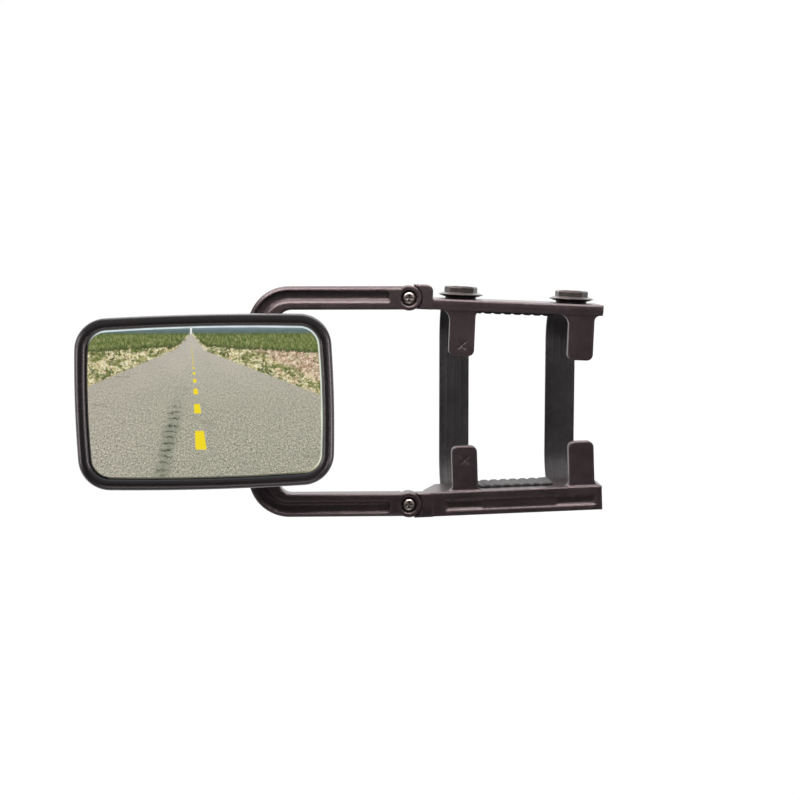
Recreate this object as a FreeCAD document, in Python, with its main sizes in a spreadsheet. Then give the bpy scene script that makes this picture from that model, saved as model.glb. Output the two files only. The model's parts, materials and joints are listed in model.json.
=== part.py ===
import FreeCAD, Part
import itertools
import math
import os
import Sketcher
from FreeCAD import Placement, Rotation, Vector

# Clip-on towing mirror: a mirror head on a C-shaped yoke, hinged to two rails that
# clamp the host mirror and are drawn together by two straps.
# +X runs towards the vehicle, -Y is the front, which the driver sees, +Z is up.
# The origin is the middle of the clamp, in the plane of the four finger pads that
# touch the host mirror.

doc = FreeCAD.newDocument("towing_mirror")
sheet = doc.addObject("Spreadsheet::Sheet", "Dims")
sheet_rows = itertools.count(1)
pieces = []          # objects that are exported, one file each

X_AXIS, Y_AXIS, Z_AXIS = Vector(1, 0, 0), Vector(0, 1, 0), Vector(0, 0, 1)


class Dim:
    """A number together with the spreadsheet expression that gives it."""

    def __init__(self, value, expr):
        self.value = float(value)
        self.expr = expr

    def __add__(self, other):
        other = as_dim(other)
        return Dim(self.value + other.value, "(%s + %s)" % (self.expr, other.expr))

    def __sub__(self, other):
        other = as_dim(other)
        return Dim(self.value - other.value, "(%s - %s)" % (self.expr, other.expr))

    def __mul__(self, other):
        other = as_dim(other)
        return Dim(self.value * other.value, "(%s * %s)" % (self.expr, other.expr))

    def __truediv__(self, other):
        other = as_dim(other)
        return Dim(self.value / other.value, "(%s / %s)" % (self.expr, other.expr))

    def __neg__(self):
        return Dim(-self.value, "(0 - %s)" % self.expr)

    def __radd__(self, other):
        return as_dim(other) + self

    def __rsub__(self, other):
        return as_dim(other) - self

    def __rmul__(self, other):
        return as_dim(other) * self


def as_dim(number):
    if isinstance(number, Dim):
        return number
    return Dim(number, "%.6f" % number if number >= 0 else "(0 - %.6f)" % -number)


def dim(alias, value, note):
    """Enter a driving dimension in the spreadsheet."""
    row = next(sheet_rows)
    sheet.set("A%d" % row, alias)
    sheet.set("B%d" % row, "%g" % value)
    sheet.set("C%d" % row, note)
    sheet.setAlias("B%d" % row, alias)
    return Dim(value, "Dims." + alias)


# ======================= driving dimensions ==============================
head_cx = dim("head_cx", -249.9, "head centre, X")
head_cz = dim("head_cz", 5.0, "head centre, Z")
head_forward = dim("head_forward", -4.0, "head's frame from the pivot's, Y")
head_roll = dim("head_roll", 1.2, "head turned in its own plane, degrees")
head_hx = dim("head_hx", 99.1, "half width of the head")
head_hz = dim("head_hz", 67.4, "half height of the head")
head_bow = dim("head_bow", 2.4, "outward bow of the head's sides")
head_rc = dim("head_rc", 24.5, "corner radius of the head")
crest_y = dim("crest_y", -70.0, "front of the bezel")
glass_y = dim("glass_y", -65.5, "front of the glass")
glass_t = dim("glass_t", 3.0, "glass thickness")
seam_y = dim("seam_y", -58.0, "bezel to shell joint")
rim_y = dim("rim_y", -51.0, "where the shell starts to close")
back_y = dim("back_y", -36.0, "back of the shell")
bezel_w = dim("bezel_w", 8.7, "width of the bezel round the glass")
wall_head = dim("wall_head", 2.6, "shell wall")
pan_y = dim("pan_y", -27.0, "pan axis")
tilt_y = dim("tilt_y", -41.0, "tilt axis in the head's frame")
pivot_dia = dim("pivot_dia", 5.0, "pivot screw diameter")
ear_in = dim("ear_in", 9.4, "inner face of the yoke ears")
ear_thick = dim("ear_thick", 6.0, "ear and lug thickness")
lug_in = dim("lug_in", 8.4, "inner face of the head lugs")
hinge_x = dim("hinge_x", -90.0, "rail hinge, X")
hinge_z = dim("hinge_z", 83.0, "rail hinge, Z")
arm_half = dim("arm_half", 9.25, "half height of an arm")
arm_front = dim("arm_front", -18.0, "front of the arms")
arm_back = dim("arm_back", -2.0, "back of the arms")
bar_left = dim("bar_left", -218.5, "crossbar, side away from the vehicle")
bar_right = dim("bar_right", -194.5, "crossbar, side towards the vehicle")
bend_out = dim("bend_out", 33.0, "outer bend radius")
bend_in = dim("bend_in", 11.0, "inner bend radius")
knuckle_rad = dim("knuckle_rad", 10.0, "knuckle radius")
lap_y = dim("lap_y", -10.0, "middle of the lap joint")
channel_deep = dim("channel_deep", 3.0, "depth of the channel in the arms")
lean_upper = dim("lean_upper", 2.3, "slope of the upper rail, degrees")
lean_lower = dim("lean_lower", 2.0, "slope of the lower rail, degrees")
rail_end = dim("rail_end", 156.6, "rail end from the hinge")
rail_front = dim("rail_front", -14.4, "rail front")
rail_back = dim("rail_back", 38.0, "rail back")
deck_thick = dim("deck_thick", 8.6, "upper rail thickness")
low_top = dim("low_top", 8.6, "lower rail, inner face")
low_bottom = dim("low_bottom", -10.7, "lower rail, outer face")
finger_wide = dim("finger_wide", 20.3, "finger width")
finger_front = dim("finger_front", -12.0, "finger front")
finger_back = dim("finger_back", -4.0, "finger back")
finger_tip = dim("finger_tip", 45.0, "finger tip from the hinge line")
finger_a_mid = dim("finger_a_mid", 44.0, "first finger, middle")
finger_c_mid = dim("finger_c_mid", 140.0, "second finger, middle")
knob_a_mid = dim("knob_a_mid", 43.6, "first knob from the hinge")
knob_b_mid = dim("knob_b_mid", 134.1, "second knob from the hinge")
knob_y = dim("knob_y", 13.0, "knob centre, Y")
knob_rad = dim("knob_rad", 18.0, "knob flange radius")
grip_rad = dim("grip_rad", 13.4, "grip radius, over corners")
strap_wide = dim("strap_wide", 25.0, "strap width")
strap_thick = dim("strap_thick", 2.4, "strap thickness")
strap_reach = dim("strap_reach", 74.0, "how far back the strap runs")
anchor_rad = dim("anchor_rad", 1.8, "anchor pin radius")
anchor_y = dim("anchor_y", -4.0, "anchor pin, Y")
anchor_z = dim("anchor_z", -4.2, "anchor pin from the hinge line, Z")
pinion_teeth = dim("pinion_teeth", 8, "pinion teeth")
pinion_module = dim("pinion_module", 1.0, "pinion module")
tongue_travel = dim("tongue_travel", 7.0, "tongue travel each way")
doc.recompute()


# ======================= frames and bodies ===============================
def frame_in(base, x, y, z, turn=Rotation()):
    """Placement at a point of another placement, turned there."""
    spot = Vector(*[as_dim(c).value for c in (x, y, z)])
    return base.multiply(Placement(spot, turn))


def new_body(name, frame, export=True):
    body = doc.addObject("PartDesign::Body", name)
    body.Label = name
    body.Placement = frame
    if export:
        pieces.append(body)
    return body


def group(name, members):
    """Export several objects as one piece."""
    compound = doc.addObject("Part::Compound", name)
    compound.Label = name
    compound.Links = members
    pieces.append(compound)


def solid_piece(name, shape):
    piece = doc.addObject("Part::Feature", name)
    piece.Label = name
    piece.Shape = shape
    pieces.append(piece)
    return piece


def origin_part(body, role):
    return [f for f in body.Origin.OriginFeatures if f.Role == role][0]


def ordered(*levels):
    return sorted(levels, key=lambda level: as_dim(level).value)


# ======================= sketch outlines =================================
# Each of these returns a function that draws one closed loop in a sketch.
def constrain(sk, value, *constraint):
    """Add a constraint with a size, bound to the spreadsheet where it depends on it."""
    index = sk.addConstraint(Sketcher.Constraint(*constraint, value.value))
    if "Dims." in value.expr:
        sk.setExpression("Constraints[%d]" % index, value.expr)


def polygon(points):
    points = [(as_dim(x), as_dim(y)) for x, y in points]

    def draw(sk):
        count, first = len(points), sk.GeometryCount
        corners = [Vector(x.value, y.value, 0) for x, y in points]
        for i in range(count):
            sk.addGeometry(Part.LineSegment(corners[i], corners[(i + 1) % count]), False)
        for i in range(count):
            sk.addConstraint(Sketcher.Constraint(
                "Coincident", first + i, 2, first + (i + 1) % count, 1))
        for i, (x, y) in enumerate(points):
            constrain(sk, x, "DistanceX", -1, 1, first + i, 1)
            constrain(sk, y, "DistanceY", -1, 1, first + i, 1)
    return draw


def box(x0, x1, y0, y1):
    return polygon([(x0, y0), (x1, y0), (x1, y1), (x0, y1)])


def circle(centre, radius):
    x, y, radius = as_dim(centre[0]), as_dim(centre[1]), as_dim(radius)

    def draw(sk):
        round_edge = Part.Circle(Vector(x.value, y.value, 0), Z_AXIS, radius.value)
        geo = sk.addGeometry(round_edge, False)
        constrain(sk, radius, "Radius", geo)
        constrain(sk, x, "DistanceX", -1, 1, geo, 3)
        constrain(sk, y, "DistanceY", -1, 1, geo, 3)
    return draw


def ring(centre, outer, inner):
    return [circle(centre, outer), circle(centre, inner)]


def pillow(half_x, half_y, bow, corner_r):
    """Rounded rectangle with sides that bow outward, centred on the origin."""
    side_r = (half_y * half_y + bow * bow) / (2 * bow)      # left and right sides
    cap_r = (half_x * half_x + bow * bow) / (2 * bow)       # top and bottom

    def draw(sk):
        side_x = half_x.value - side_r.value
        cap_y = half_y.value - cap_r.value
        # a corner's centre is where circles round the two arcs' centres cross
        reach_side = side_r.value - corner_r.value
        reach_cap = cap_r.value - corner_r.value
        gap = math.hypot(side_x, cap_y)
        run = (reach_side ** 2 - reach_cap ** 2 + gap ** 2) / (2 * gap)
        rise = math.sqrt(max(reach_side ** 2 - run ** 2, 0.0))
        ux, uy = -side_x / gap, cap_y / gap
        corner_x, corner_y = side_x + run * ux - rise * uy, run * uy + rise * ux
        if not (corner_x > 0 and corner_y > 0):
            corner_x, corner_y = side_x + run * ux + rise * uy, run * uy - rise * ux
        on_side = math.atan2(corner_y, corner_x - side_x)   # angles of the tangent points
        on_cap = math.atan2(corner_y - cap_y, corner_x)
        pi = math.pi
        arcs = [    # centre x, centre y, radius, start angle, end angle
            (side_x, 0, side_r, -on_side, on_side),
            (corner_x, corner_y, corner_r, on_side, on_cap),
            (0, cap_y, cap_r, on_cap, pi - on_cap),
            (-corner_x, corner_y, corner_r, pi - on_cap, pi - on_side),
            (-side_x, 0, side_r, pi - on_side, pi + on_side),
            (-corner_x, -corner_y, corner_r, pi + on_side, pi + on_cap),
            (0, -cap_y, cap_r, pi + on_cap, 2 * pi - on_cap),
            (corner_x, -corner_y, corner_r, 2 * pi - on_cap, 2 * pi - on_side),
        ]
        geos = []
        for x, y, radius, start, end in arcs:
            whole = Part.Circle(Vector(x, y, 0), Z_AXIS, radius.value)
            geos.append(sk.addGeometry(Part.ArcOfCircle(whole, start, end), False))
        for i in range(8):
            sk.addConstraint(Sketcher.Constraint("Tangent", geos[i], 2, geos[(i + 1) % 8], 1))
        for i in (1, 3, 5, 7, 0, 2, 4, 6):
            constrain(sk, arcs[i][2], "Radius", geos[i])
        for i, axis in ((0, -1), (4, -1), (2, -2), (6, -2)):
            sk.addConstraint(Sketcher.Constraint("PointOnObject", geos[i], 3, axis))
        constrain(sk, half_x - side_r, "DistanceX", -1, 1, geos[0], 3)
        constrain(sk, side_r - half_x, "DistanceX", -1, 1, geos[4], 3)
        constrain(sk, half_y - cap_r, "DistanceY", -1, 1, geos[2], 3)
        constrain(sk, cap_r - half_y, "DistanceY", -1, 1, geos[6], 3)
    return draw


def regular(across_flats, turn=0.0, sides=6):
    """Regular polygon given across its flats, turned by degrees."""
    radius = as_dim(across_flats) * (0.5 / math.cos(math.pi / sides))
    angles = [math.radians(turn) + 2 * math.pi * (i + 0.5) / sides for i in range(sides)]
    return [(radius * math.cos(a), radius * math.sin(a)) for a in angles]


# ======================= features ========================================
def drive(feature, prop, size):
    setattr(feature, prop, size.value)
    if "Dims." in size.expr:
        feature.setExpression(prop, size.expr)


def sketch(body, plane, level, loops):
    """Sketch at a coordinate along the normal axis of XY, XZ or YZ."""
    level = as_dim(level)
    sk = body.newObject("Sketcher::SketchObject", "Outline")
    sk.AttachmentSupport = (origin_part(body, plane + "_Plane"), [""])
    sk.MapMode = "FlatFace"
    offset = -level if plane == "XZ" else level     # the XZ plane looks along -Y
    sk.AttachmentOffset = Placement(Vector(0, 0, offset.value), Rotation())
    if "Dims." in offset.expr:
        sk.setExpression("AttachmentOffset.Base.z", offset.expr)
    for draw in loops:
        draw(sk)
    return sk


def extrude(body, kind, profile, length):
    feature = body.newObject("PartDesign::" + kind, kind)
    feature.Profile = profile
    drive(feature, "Length", as_dim(length))
    body.Tip = feature
    doc.recompute()
    return feature


def cut(body, profile, depth):
    before = body.Shape.Volume
    feature = extrude(body, "Pocket", profile, depth)
    if not before - body.Shape.Volume > 1e-3:
        raise RuntimeError("cut takes nothing from %s (%s)" % (body.Label, feature.Name))
    return feature


def pad(body, plane, low, high, *loops):
    """Add material between two coordinates along the plane's normal axis."""
    profile = sketch(body, plane, high if plane == "XZ" else low, loops)
    return extrude(body, "Pad", profile, as_dim(high) - low)


def pocket(body, plane, low, high, *loops):
    """Take material away between two coordinates along the plane's normal axis."""
    profile = sketch(body, plane, low if plane == "XZ" else high, loops)
    return cut(body, profile, as_dim(high) - low)


def loft(body, kind, plane, start, end):
    """Ruled loft between two (level, loop) sections; kind is Additive or Subtractive."""
    first, last = [sketch(body, plane, level, [loop]) for level, loop in (start, end)]
    feature = body.newObject("PartDesign::%sLoft" % kind, "Loft")
    feature.Profile = first
    feature.Sections = [last]
    feature.Ruled = True
    body.Tip = feature
    doc.recompute()


def is_straight(edge):
    return isinstance(edge.Curve, (Part.Line, Part.LineSegment))


def along(axis, spots, tol=0.05):
    """Pick straight edges parallel to an axis, through points of the other two axes."""
    i, j = [n for n in range(3) if n != "xyz".index(axis)]
    spots = [(as_dim(a).value, as_dim(b).value) for a, b in spots]

    def test(edge):
        if not is_straight(edge):
            return False
        start, end = edge.valueAt(edge.FirstParameter), edge.valueAt(edge.LastParameter)
        if abs(start[i] - end[i]) > tol or abs(start[j] - end[j]) > tol:
            return False
        return any(abs(start[i] - a) < tol and abs(start[j] - b) < tol for a, b in spots)
    return test


def at_level(axis, level, extra=None, tol=0.02):
    """Pick edges that lie wholly in a plane square to an axis."""
    index = "xyz".index(axis)
    level = as_dim(level).value

    def test(edge):
        bounds = edge.BoundBox
        low = (bounds.XMin, bounds.YMin, bounds.ZMin)[index]
        high = (bounds.XMax, bounds.YMax, bounds.ZMax)[index]
        if abs(low - level) > tol or abs(high - level) > tol:
            return False
        return extra is None or extra(edge, bounds)
    return test


def dress(body, kind, prop, size, test, required):
    """Dress the picked edges.  One that isn't required is left out where it can't be built."""
    base = body.Tip
    names = ["Edge%d" % n for n, edge in enumerate(base.Shape.Edges, 1) if test(edge)]
    if not names:
        if required:
            raise RuntimeError("no edges to dress on " + body.Label)
        return
    feature = body.newObject("PartDesign::" + kind, kind)
    feature.Base = (base, names)
    drive(feature, prop, as_dim(size))
    body.Tip = feature
    doc.recompute()
    if feature.Shape.isNull() or not feature.Shape.isValid() or "Invalid" in feature.State:
        if required:
            raise RuntimeError("%s failed on %s" % (kind, body.Label))
        body.Tip = base
        doc.removeObject(feature.Name)
        doc.recompute()


def fillet(body, radius, test, required=True):
    dress(body, "Fillet", "Radius", radius, test, required)


def chamfer(body, size, test, required=True):
    dress(body, "Chamfer", "Size", size, test, required)


# ======================= screws, nuts and washers ========================
def pan_screw(name, frame, shank_r, length, head_r, head_h, export=True):
    """Head from z 0 up to head_h, shank down to -length, cross recess in the head."""
    body = new_body(name, frame, export)
    pad(body, "XY", 0, head_h, circle((0, 0), head_r))
    fillet(body, head_h * 0.6, at_level("z", head_h))
    half, reach = (0.6 + 0.17 * head_r) / 2, head_r * 0.62
    pocket(body, "XY", head_h - 1.4, head_h, polygon([
        (half, -reach), (half, -half), (reach, -half), (reach, half),
        (half, half), (half, reach), (-half, reach), (-half, half),
        (-reach, half), (-reach, -half), (-half, -half), (-half, -reach)]))
    pad(body, "XY", -length, 0, circle((0, 0), shank_r))
    chamfer(body, 0.4, at_level("z", -length))
    return body


def hex_nut(name, frame, height, bore_r):
    body = new_body(name, frame)
    bore_r = as_dim(bore_r)
    pad(body, "XY", 0, height, polygon(regular(nut_flats)), circle((0, 0), bore_r))
    chamfer(body, 0.3, at_level("z", height, lambda edge, bounds: (
        bounds.XLength > bore_r.value * 2 - 0.1 and isinstance(edge.Curve, Part.Circle))),
        required=False)


def washer_pair(name, plane, centre, inner, outer, radius):
    """Two washers, either side of the swivel block."""
    body = new_body(name, pivot_frame)
    for low, high in ((inner, outer), (-outer, -inner)):
        pad(body, plane, low, high, *ring(centre, radius, pivot_dia / 2 + 0.15))


nut_flats = 8.0

# ======================= mirror head =====================================
head_turn = Rotation(Y_AXIS, -head_roll.value)
pivot_frame = Placement(Vector(head_cx.value, 0, head_cz.value), head_turn)
head_frame = frame_in(pivot_frame, 0, head_forward, 0)
ledge_y = -61                       # front of the ledge behind the glass
case_spots = [(side * 81.0, end * 49.0) for side in (-1, 1) for end in (-1, 1)]
case_head_y = -48.5                 # underside of the case screw heads
ear_out = ear_in + ear_thick
lug_out = lug_in + ear_thick
tilt_at = tilt_y + head_forward     # tilt axis in the pivot's frame


def head_outline(inset, corner_share=1.0):
    """Head outline moved inward; the corner radius shrinks by a share of the inset."""
    return pillow(head_hx - inset, head_hz - inset, head_bow, head_rc - inset * corner_share)


def case_circles(radius):
    return [circle(spot, radius) for spot in case_spots]


def build_bezel():
    body = new_body("head_bezel", head_frame)
    pad(body, "XZ", crest_y, seam_y, head_outline(0))
    pocket(body, "XZ", crest_y, ledge_y, head_outline(bezel_w))
    pocket(body, "XZ", ledge_y, seam_y, head_outline(bezel_w + 5, 0.9))
    # the crest is rolled over on the outside, and softer on the inside
    fillet(body, 4.6, at_level("y", crest_y, lambda edge, bounds: (
        max(abs(bounds.XMin), abs(bounds.XMax)) > 95
        or max(abs(bounds.ZMin), abs(bounds.ZMax)) > 62.5)))
    fillet(body, 2.2, at_level("y", crest_y), required=False)
    # screw bosses with a narrower spigot behind
    spigot_end = -51.6
    pad(body, "XZ", ledge_y, seam_y, *case_circles(8.6))
    pad(body, "XZ", seam_y - 0.5, spigot_end, *case_circles(3.6))
    pocket(body, "XZ", -59.5, spigot_end, *case_circles(1.25))


def build_shell():
    """Back of the head: a short rim, then two slopes that close in to the back."""
    rim_inset, knee_inset = 0.5, 9.5
    slope_share = 0.2
    body = new_body("head_shell", head_frame)
    pad(body, "XZ", seam_y, rim_y, head_outline(rim_inset))
    knee = (rim_y + 8.5, head_outline(knee_inset, slope_share))
    loft(body, "Additive", "XZ", (rim_y, head_outline(rim_inset)), knee)
    loft(body, "Additive", "XZ", knee, (back_y, head_outline(26.0, slope_share)))
    fillet(body, 3.0, at_level("y", back_y), required=False)
    # hollow inside, following the outside; the cuts overlap a little
    inside = head_outline(wall_head + rim_inset)
    inner_knee = head_outline(wall_head + knee_inset, slope_share)
    inner_back = head_outline(wall_head + 25.5, slope_share)
    pocket(body, "XZ", seam_y, rim_y, inside)
    loft(body, "Subtractive", "XZ", (rim_y - 0.01, inside), (rim_y + 7.4, inner_knee))
    loft(body, "Subtractive", "XZ", (rim_y + 7.3, inner_knee), (back_y - wall_head, inner_back))
    # well for the swivel: walls run forward from the back face
    well_x, well_z, well_wall = 25.0, 21.0, 2.4
    wall_x, wall_z = well_x + well_wall, well_z + well_wall
    pad(body, "XZ", -56.4, back_y - 0.5, box(-wall_x, wall_x, -wall_z, wall_z))
    pocket(body, "XZ", -54.0, back_y, box(-well_x, well_x, -well_z, well_z))
    fillet(body, 4.0, along("y", [(i * well_x, j * well_z) for i in (-1, 1) for j in (-1, 1)]),
           required=False)
    # two lugs in the well carry the tilt screw
    lug_r = 7
    for side in (-1, 1):
        low, high = ordered(side * lug_in, side * lug_out)
        pad(body, "YZ", low, high, box(-54.5, tilt_y, -lug_r, lug_r))
        pad(body, "YZ", low, high, circle((tilt_y, 0), lug_r))
    pocket(body, "YZ", -lug_out, lug_out, circle((tilt_y, 0), pivot_dia / 2 + 0.05))
    # screw towers, with a wide hole for the head and a narrow one for the shank
    tower_front = -51.5
    pad(body, "XZ", tower_front, -43.5, *case_circles(5.2))
    pocket(body, "XZ", case_head_y, -38.0, *case_circles(3.3))
    pocket(body, "XZ", tower_front, case_head_y + 0.1, *case_circles(1.6))


def build_glass():
    body = new_body("mirror_glass", head_frame)
    pad(body, "XZ", glass_y, glass_y + glass_t, head_outline(bezel_w + 0.3))
    chamfer(body, 1.1, at_level("y", glass_y))


def build_foam():
    """Pad between the glass and the bezel's ledge."""
    body = new_body("glass_foam_pad", head_frame)
    pad(body, "XZ", glass_y + glass_t, ledge_y, head_outline(bezel_w + 1.5))


def build_case_screws():
    """Four screws put in from the back."""
    screws = []
    for i, (x, z) in enumerate(case_spots):
        frame = frame_in(head_frame, x, case_head_y, z, Rotation(X_AXIS, -90))
        screws.append(pan_screw("case_screw_%d" % i, frame, shank_r=1.22, length=8.0,
                                head_r=2.9, head_h=2.0, export=False))
    group("case_screws", screws)


# ======================= swivel ==========================================
def build_swivel_block():
    """Block with the upright pan bore behind and the level tilt bore in front."""
    pan_r, pan_half = 7.6, 8.7
    tilt_r = 7
    front = -37
    body = new_body("swivel_block", pivot_frame)
    pad(body, "XY", -pan_half, pan_half, box(-pan_r, pan_r, front, pan_y))
    pad(body, "XY", -pan_half, pan_half, circle((0, pan_y), pan_r))
    pad(body, "YZ", -pan_r, pan_r, box(tilt_at, front + 1, -tilt_r, tilt_r))
    pad(body, "YZ", -pan_r, pan_r, circle((tilt_at, 0), tilt_r))
    chamfer(body, 1.2, at_level("y", front), required=False)
    pocket(body, "XY", -9, 9, circle((0, pan_y), pivot_dia / 2 + 0.1))
    pocket(body, "YZ", -8, 8, circle((tilt_at, 0), pivot_dia / 2 + 0.1))


def build_swivel_hardware():
    """Pan screw from above, tilt screw from the +X side, each with nut and washers."""
    # name, screw frame, nut frame, distance between the head and the nut
    axes = (
        ("pan", frame_in(pivot_frame, 0, pan_y, ear_out),
         frame_in(pivot_frame, 0, pan_y, -ear_out, Rotation(X_AXIS, 180)), ear_out * 2),
        ("tilt", frame_in(pivot_frame, lug_out, tilt_at, 0, Rotation(Y_AXIS, 90)),
         frame_in(pivot_frame, -lug_out, tilt_at, 0, Rotation(Y_AXIS, -90)), lug_out * 2),
    )
    for name, screw_frame, nut_frame, clamped in axes:
        pan_screw(name + "_screw", screw_frame, shank_r=pivot_dia / 2, length=clamped + 4.6,
                  head_r=4.6, head_h=3.2)
        hex_nut(name + "_nut", nut_frame, height=4.0, bore_r=pivot_dia / 2 + 0.01)
    washer_pair("pan_washers", "XY", (0, pan_y), inner=8.75, outer=9.35, radius=6.6)
    washer_pair("tilt_washers", "YZ", (tilt_at, 0), inner=7.65, outer=8.35, radius=6.2)


# ======================= yoke frame ======================================
hinge_bore_r = 2.6
lap_gap = 0.5           # half the gap between the two halves of a lap joint


def hinge_circles(radius):
    return [circle((hinge_x, hinge_z), radius), circle((hinge_x, -hinge_z), radius)]


def swivel_sketch(body, level, loop):
    """Sketch square to the pan axis, drawn round the pivot."""
    sk = sketch(body, "XY", 0, [loop])
    shift = head_turn.multVec(Vector(0, 0, as_dim(level).value))
    x, z = head_cx + shift.x, head_cz + shift.z
    sk.AttachmentOffset = Placement(Vector(x.value, 0, z.value), head_turn)
    sk.setExpression("AttachmentOffset.Base.x", x.expr)
    sk.setExpression("AttachmentOffset.Base.z", z.expr)
    return sk


def build_yoke():
    """C-shaped frame, open towards the vehicle, with ears for the swivel."""
    arm_out, arm_in = hinge_z + arm_half, hinge_z - arm_half
    body = new_body("yoke_frame", Placement())
    pad(body, "XZ", arm_front, arm_back, polygon([
        (hinge_x, arm_out), (bar_left, arm_out), (bar_left, -arm_out), (hinge_x, -arm_out),
        (hinge_x, -arm_in), (bar_right, -arm_in), (bar_right, arm_in), (hinge_x, arm_in)]))
    pad(body, "XZ", arm_front, arm_back, *hinge_circles(knuckle_rad))

    # long channel in the front, running round the C
    lip, width = 3.2, 7.0
    chan_end = hinge_x - 15.5
    chan_left, chan_right = bar_left + lip, bar_left + lip + width
    chan_out, chan_in = arm_out - lip, arm_out - lip - width
    pocket(body, "XZ", arm_front, arm_front + channel_deep, polygon([
        (chan_end, chan_out), (chan_left, chan_out), (chan_left, -chan_out),
        (chan_end, -chan_out), (chan_end, -chan_in), (chan_right, -chan_in),
        (chan_right, chan_in), (chan_end, chan_in)]))
    bends = (   # radius, x, height either side of the middle
        (bend_out - lip - width, chan_right, chan_in),
        (bend_out - lip, chan_left, chan_out),
        (bend_out, bar_left, arm_out),
        (bend_in, bar_right, arm_in),
    )
    for radius, x, z in bends:
        fillet(body, radius, along("y", [(x, z), (x, -z)]))
    # the inner lip of the channel slopes away from it
    chamfer(body, 2.6, at_level("y", arm_front, lambda edge, bounds: is_straight(edge) and (
        (bounds.XLength > 50 and abs(abs(bounds.ZMin) - chan_in.value) < 0.1)
        or (bounds.ZLength > 50 and abs(bounds.XMin - chan_right.value) < 0.1))),
        required=False)
    # the outer corners of the channel's ends are rounded
    fillet(body, 3.0, along("y", [(chan_end, chan_out), (chan_end, -chan_out)]), required=False)
    # front edges of the arms: the inner ones are rounded, the outer ones sloped
    fillet(body, 1.4, at_level("y", arm_front, lambda edge, bounds: (
        bounds.XLength > 40 and abs(abs(bounds.ZMin) - arm_in.value) < 0.3)), required=False)
    chamfer(body, 2.2, at_level("y", arm_front, lambda edge, bounds: (
        is_straight(edge) and bounds.XLength > 40
        and abs(abs(bounds.ZMin) - arm_out.value) < 0.3)), required=False)

    # spur and ears for the swivel
    spur_end = head_cx - 11
    spur_low, spur_high = head_cz - 17.0, head_cz + 17.0
    pad(body, "XZ", arm_front, arm_back - 4, box(spur_end, bar_left + 4, spur_low, spur_high))
    fillet(body, 6.0, along("y", [(spur_end, spur_low), (spur_end, spur_high)]))
    for level in (-ear_out, ear_in):
        for loop in (box(-8, 8, pan_y, arm_front + 1), circle((0, pan_y), 8.0)):
            extrude(body, "Pad", swivel_sketch(body, level, loop), ear_thick)
    bore = swivel_sketch(body, ear_out + 1, circle((0, pan_y), pivot_dia / 2 + 0.05))
    cut(body, bore, ear_out * 2 + 2)

    # lap joints: the back half of each knuckle is relieved round the hinge
    pocket(body, "XZ", lap_y - lap_gap, arm_back, *hinge_circles(knuckle_rad + 1.0))
    # counterbores in the front, then the screw holes
    pocket(body, "XZ", arm_front, arm_front + 3.2, *hinge_circles(6.5))
    pocket(body, "XZ", arm_front + 3.0, lap_y, *hinge_circles(hinge_bore_r))


# ======================= rails ===========================================
# In a rail's frame the origin is its hinge and X runs along the rail.
upper_frame = Placement(Vector(hinge_x.value, 0, hinge_z.value),
                        Rotation(Y_AXIS, lean_upper.value))
lower_frame = Placement(Vector(hinge_x.value, 0, -hinge_z.value),
                        Rotation(Y_AXIS, -lean_lower.value))
upper_fingers = (finger_a_mid, finger_c_mid)
lower_fingers = (finger_a_mid + 2.4, finger_c_mid + 1.0)
upper_seat, lower_seat = (-43, -16), (16, 43)   # z range of the seats for the finger pads
seat_half, seat_clear = 8, 0.2
knobs = (("a", knob_a_mid), ("b", knob_b_mid))
anchors = (("a", 43.2), ("b", 133.2))           # middle of each anchor, X
cover_x0, cover_x1 = 24.0, 154.0
cover_seat_z, cover_face_z = -6.7, -8.4
cover_spots = [(x, y) for x in (27.4, 88, 150.6) for y in (0, 30)]


def rail_blank(name, frame, bottom, block_top, bar_top, block_round=None):
    """Knuckle, lapped block and bar."""
    block_end = 19
    body = new_body(name, frame)
    pad(body, "XZ", lap_y + lap_gap, arm_back, circle((0, 0), knuckle_rad))
    pad(body, "XZ", arm_front + 1.6, arm_back, box(4, block_end, bottom, block_top))
    if block_round is not None:
        fillet(body, block_round, along("y", [(block_end, block_top)]))
    pad(body, "XZ", rail_front, rail_back, box(13, rail_end, bottom, bar_top))
    pocket(body, "XZ", arm_front, lap_y + lap_gap, circle((0, 0), knuckle_rad + 0.8))
    return body


def add_fingers(body, mids, low, high):
    """Flat fingers that lie on the host's front rim."""
    for mid in mids:
        pad(body, "XZ", finger_front, finger_back,
            box(mid - finger_wide / 2, mid + finger_wide / 2, low, high))


def finger_edges(mids, z, sides=(-1, 1)):
    """Edges along Y at the fingers' sides; -1 is the side next to the hinge."""
    return along("y", [(mid + side * finger_wide / 2, z) for mid in mids for side in sides])


def finger_details(body, mids, mark_z, seat):
    """Recessed cross in the front of the first finger, and seats for the finger pads."""
    reach, half = 4.4, 0.6
    for turn in (45, -45):
        cos, sin = math.cos(math.radians(turn)), math.sin(math.radians(turn))
        stroke = [(-reach, -half), (reach, -half), (reach, half), (-reach, half)]
        pocket(body, "XZ", finger_front, finger_front + 0.6, polygon([
            (mids[0] + (u * cos - v * sin), mark_z + (u * sin + v * cos)) for u, v in stroke]))
    for mid in mids:
        pocket(body, "XZ", finger_back - 1, finger_back,
               box(mid - seat_half, mid + seat_half, *seat))


def rail_hinge_bore(body):
    """Screw hole, with a hexagonal seat for the nut in the back."""
    pocket(body, "XZ", lap_y, arm_back, circle((0, 0), hinge_bore_r))
    pocket(body, "XZ", arm_back - 4.0, arm_back, polygon(regular(nut_flats + 0.2)))


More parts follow.
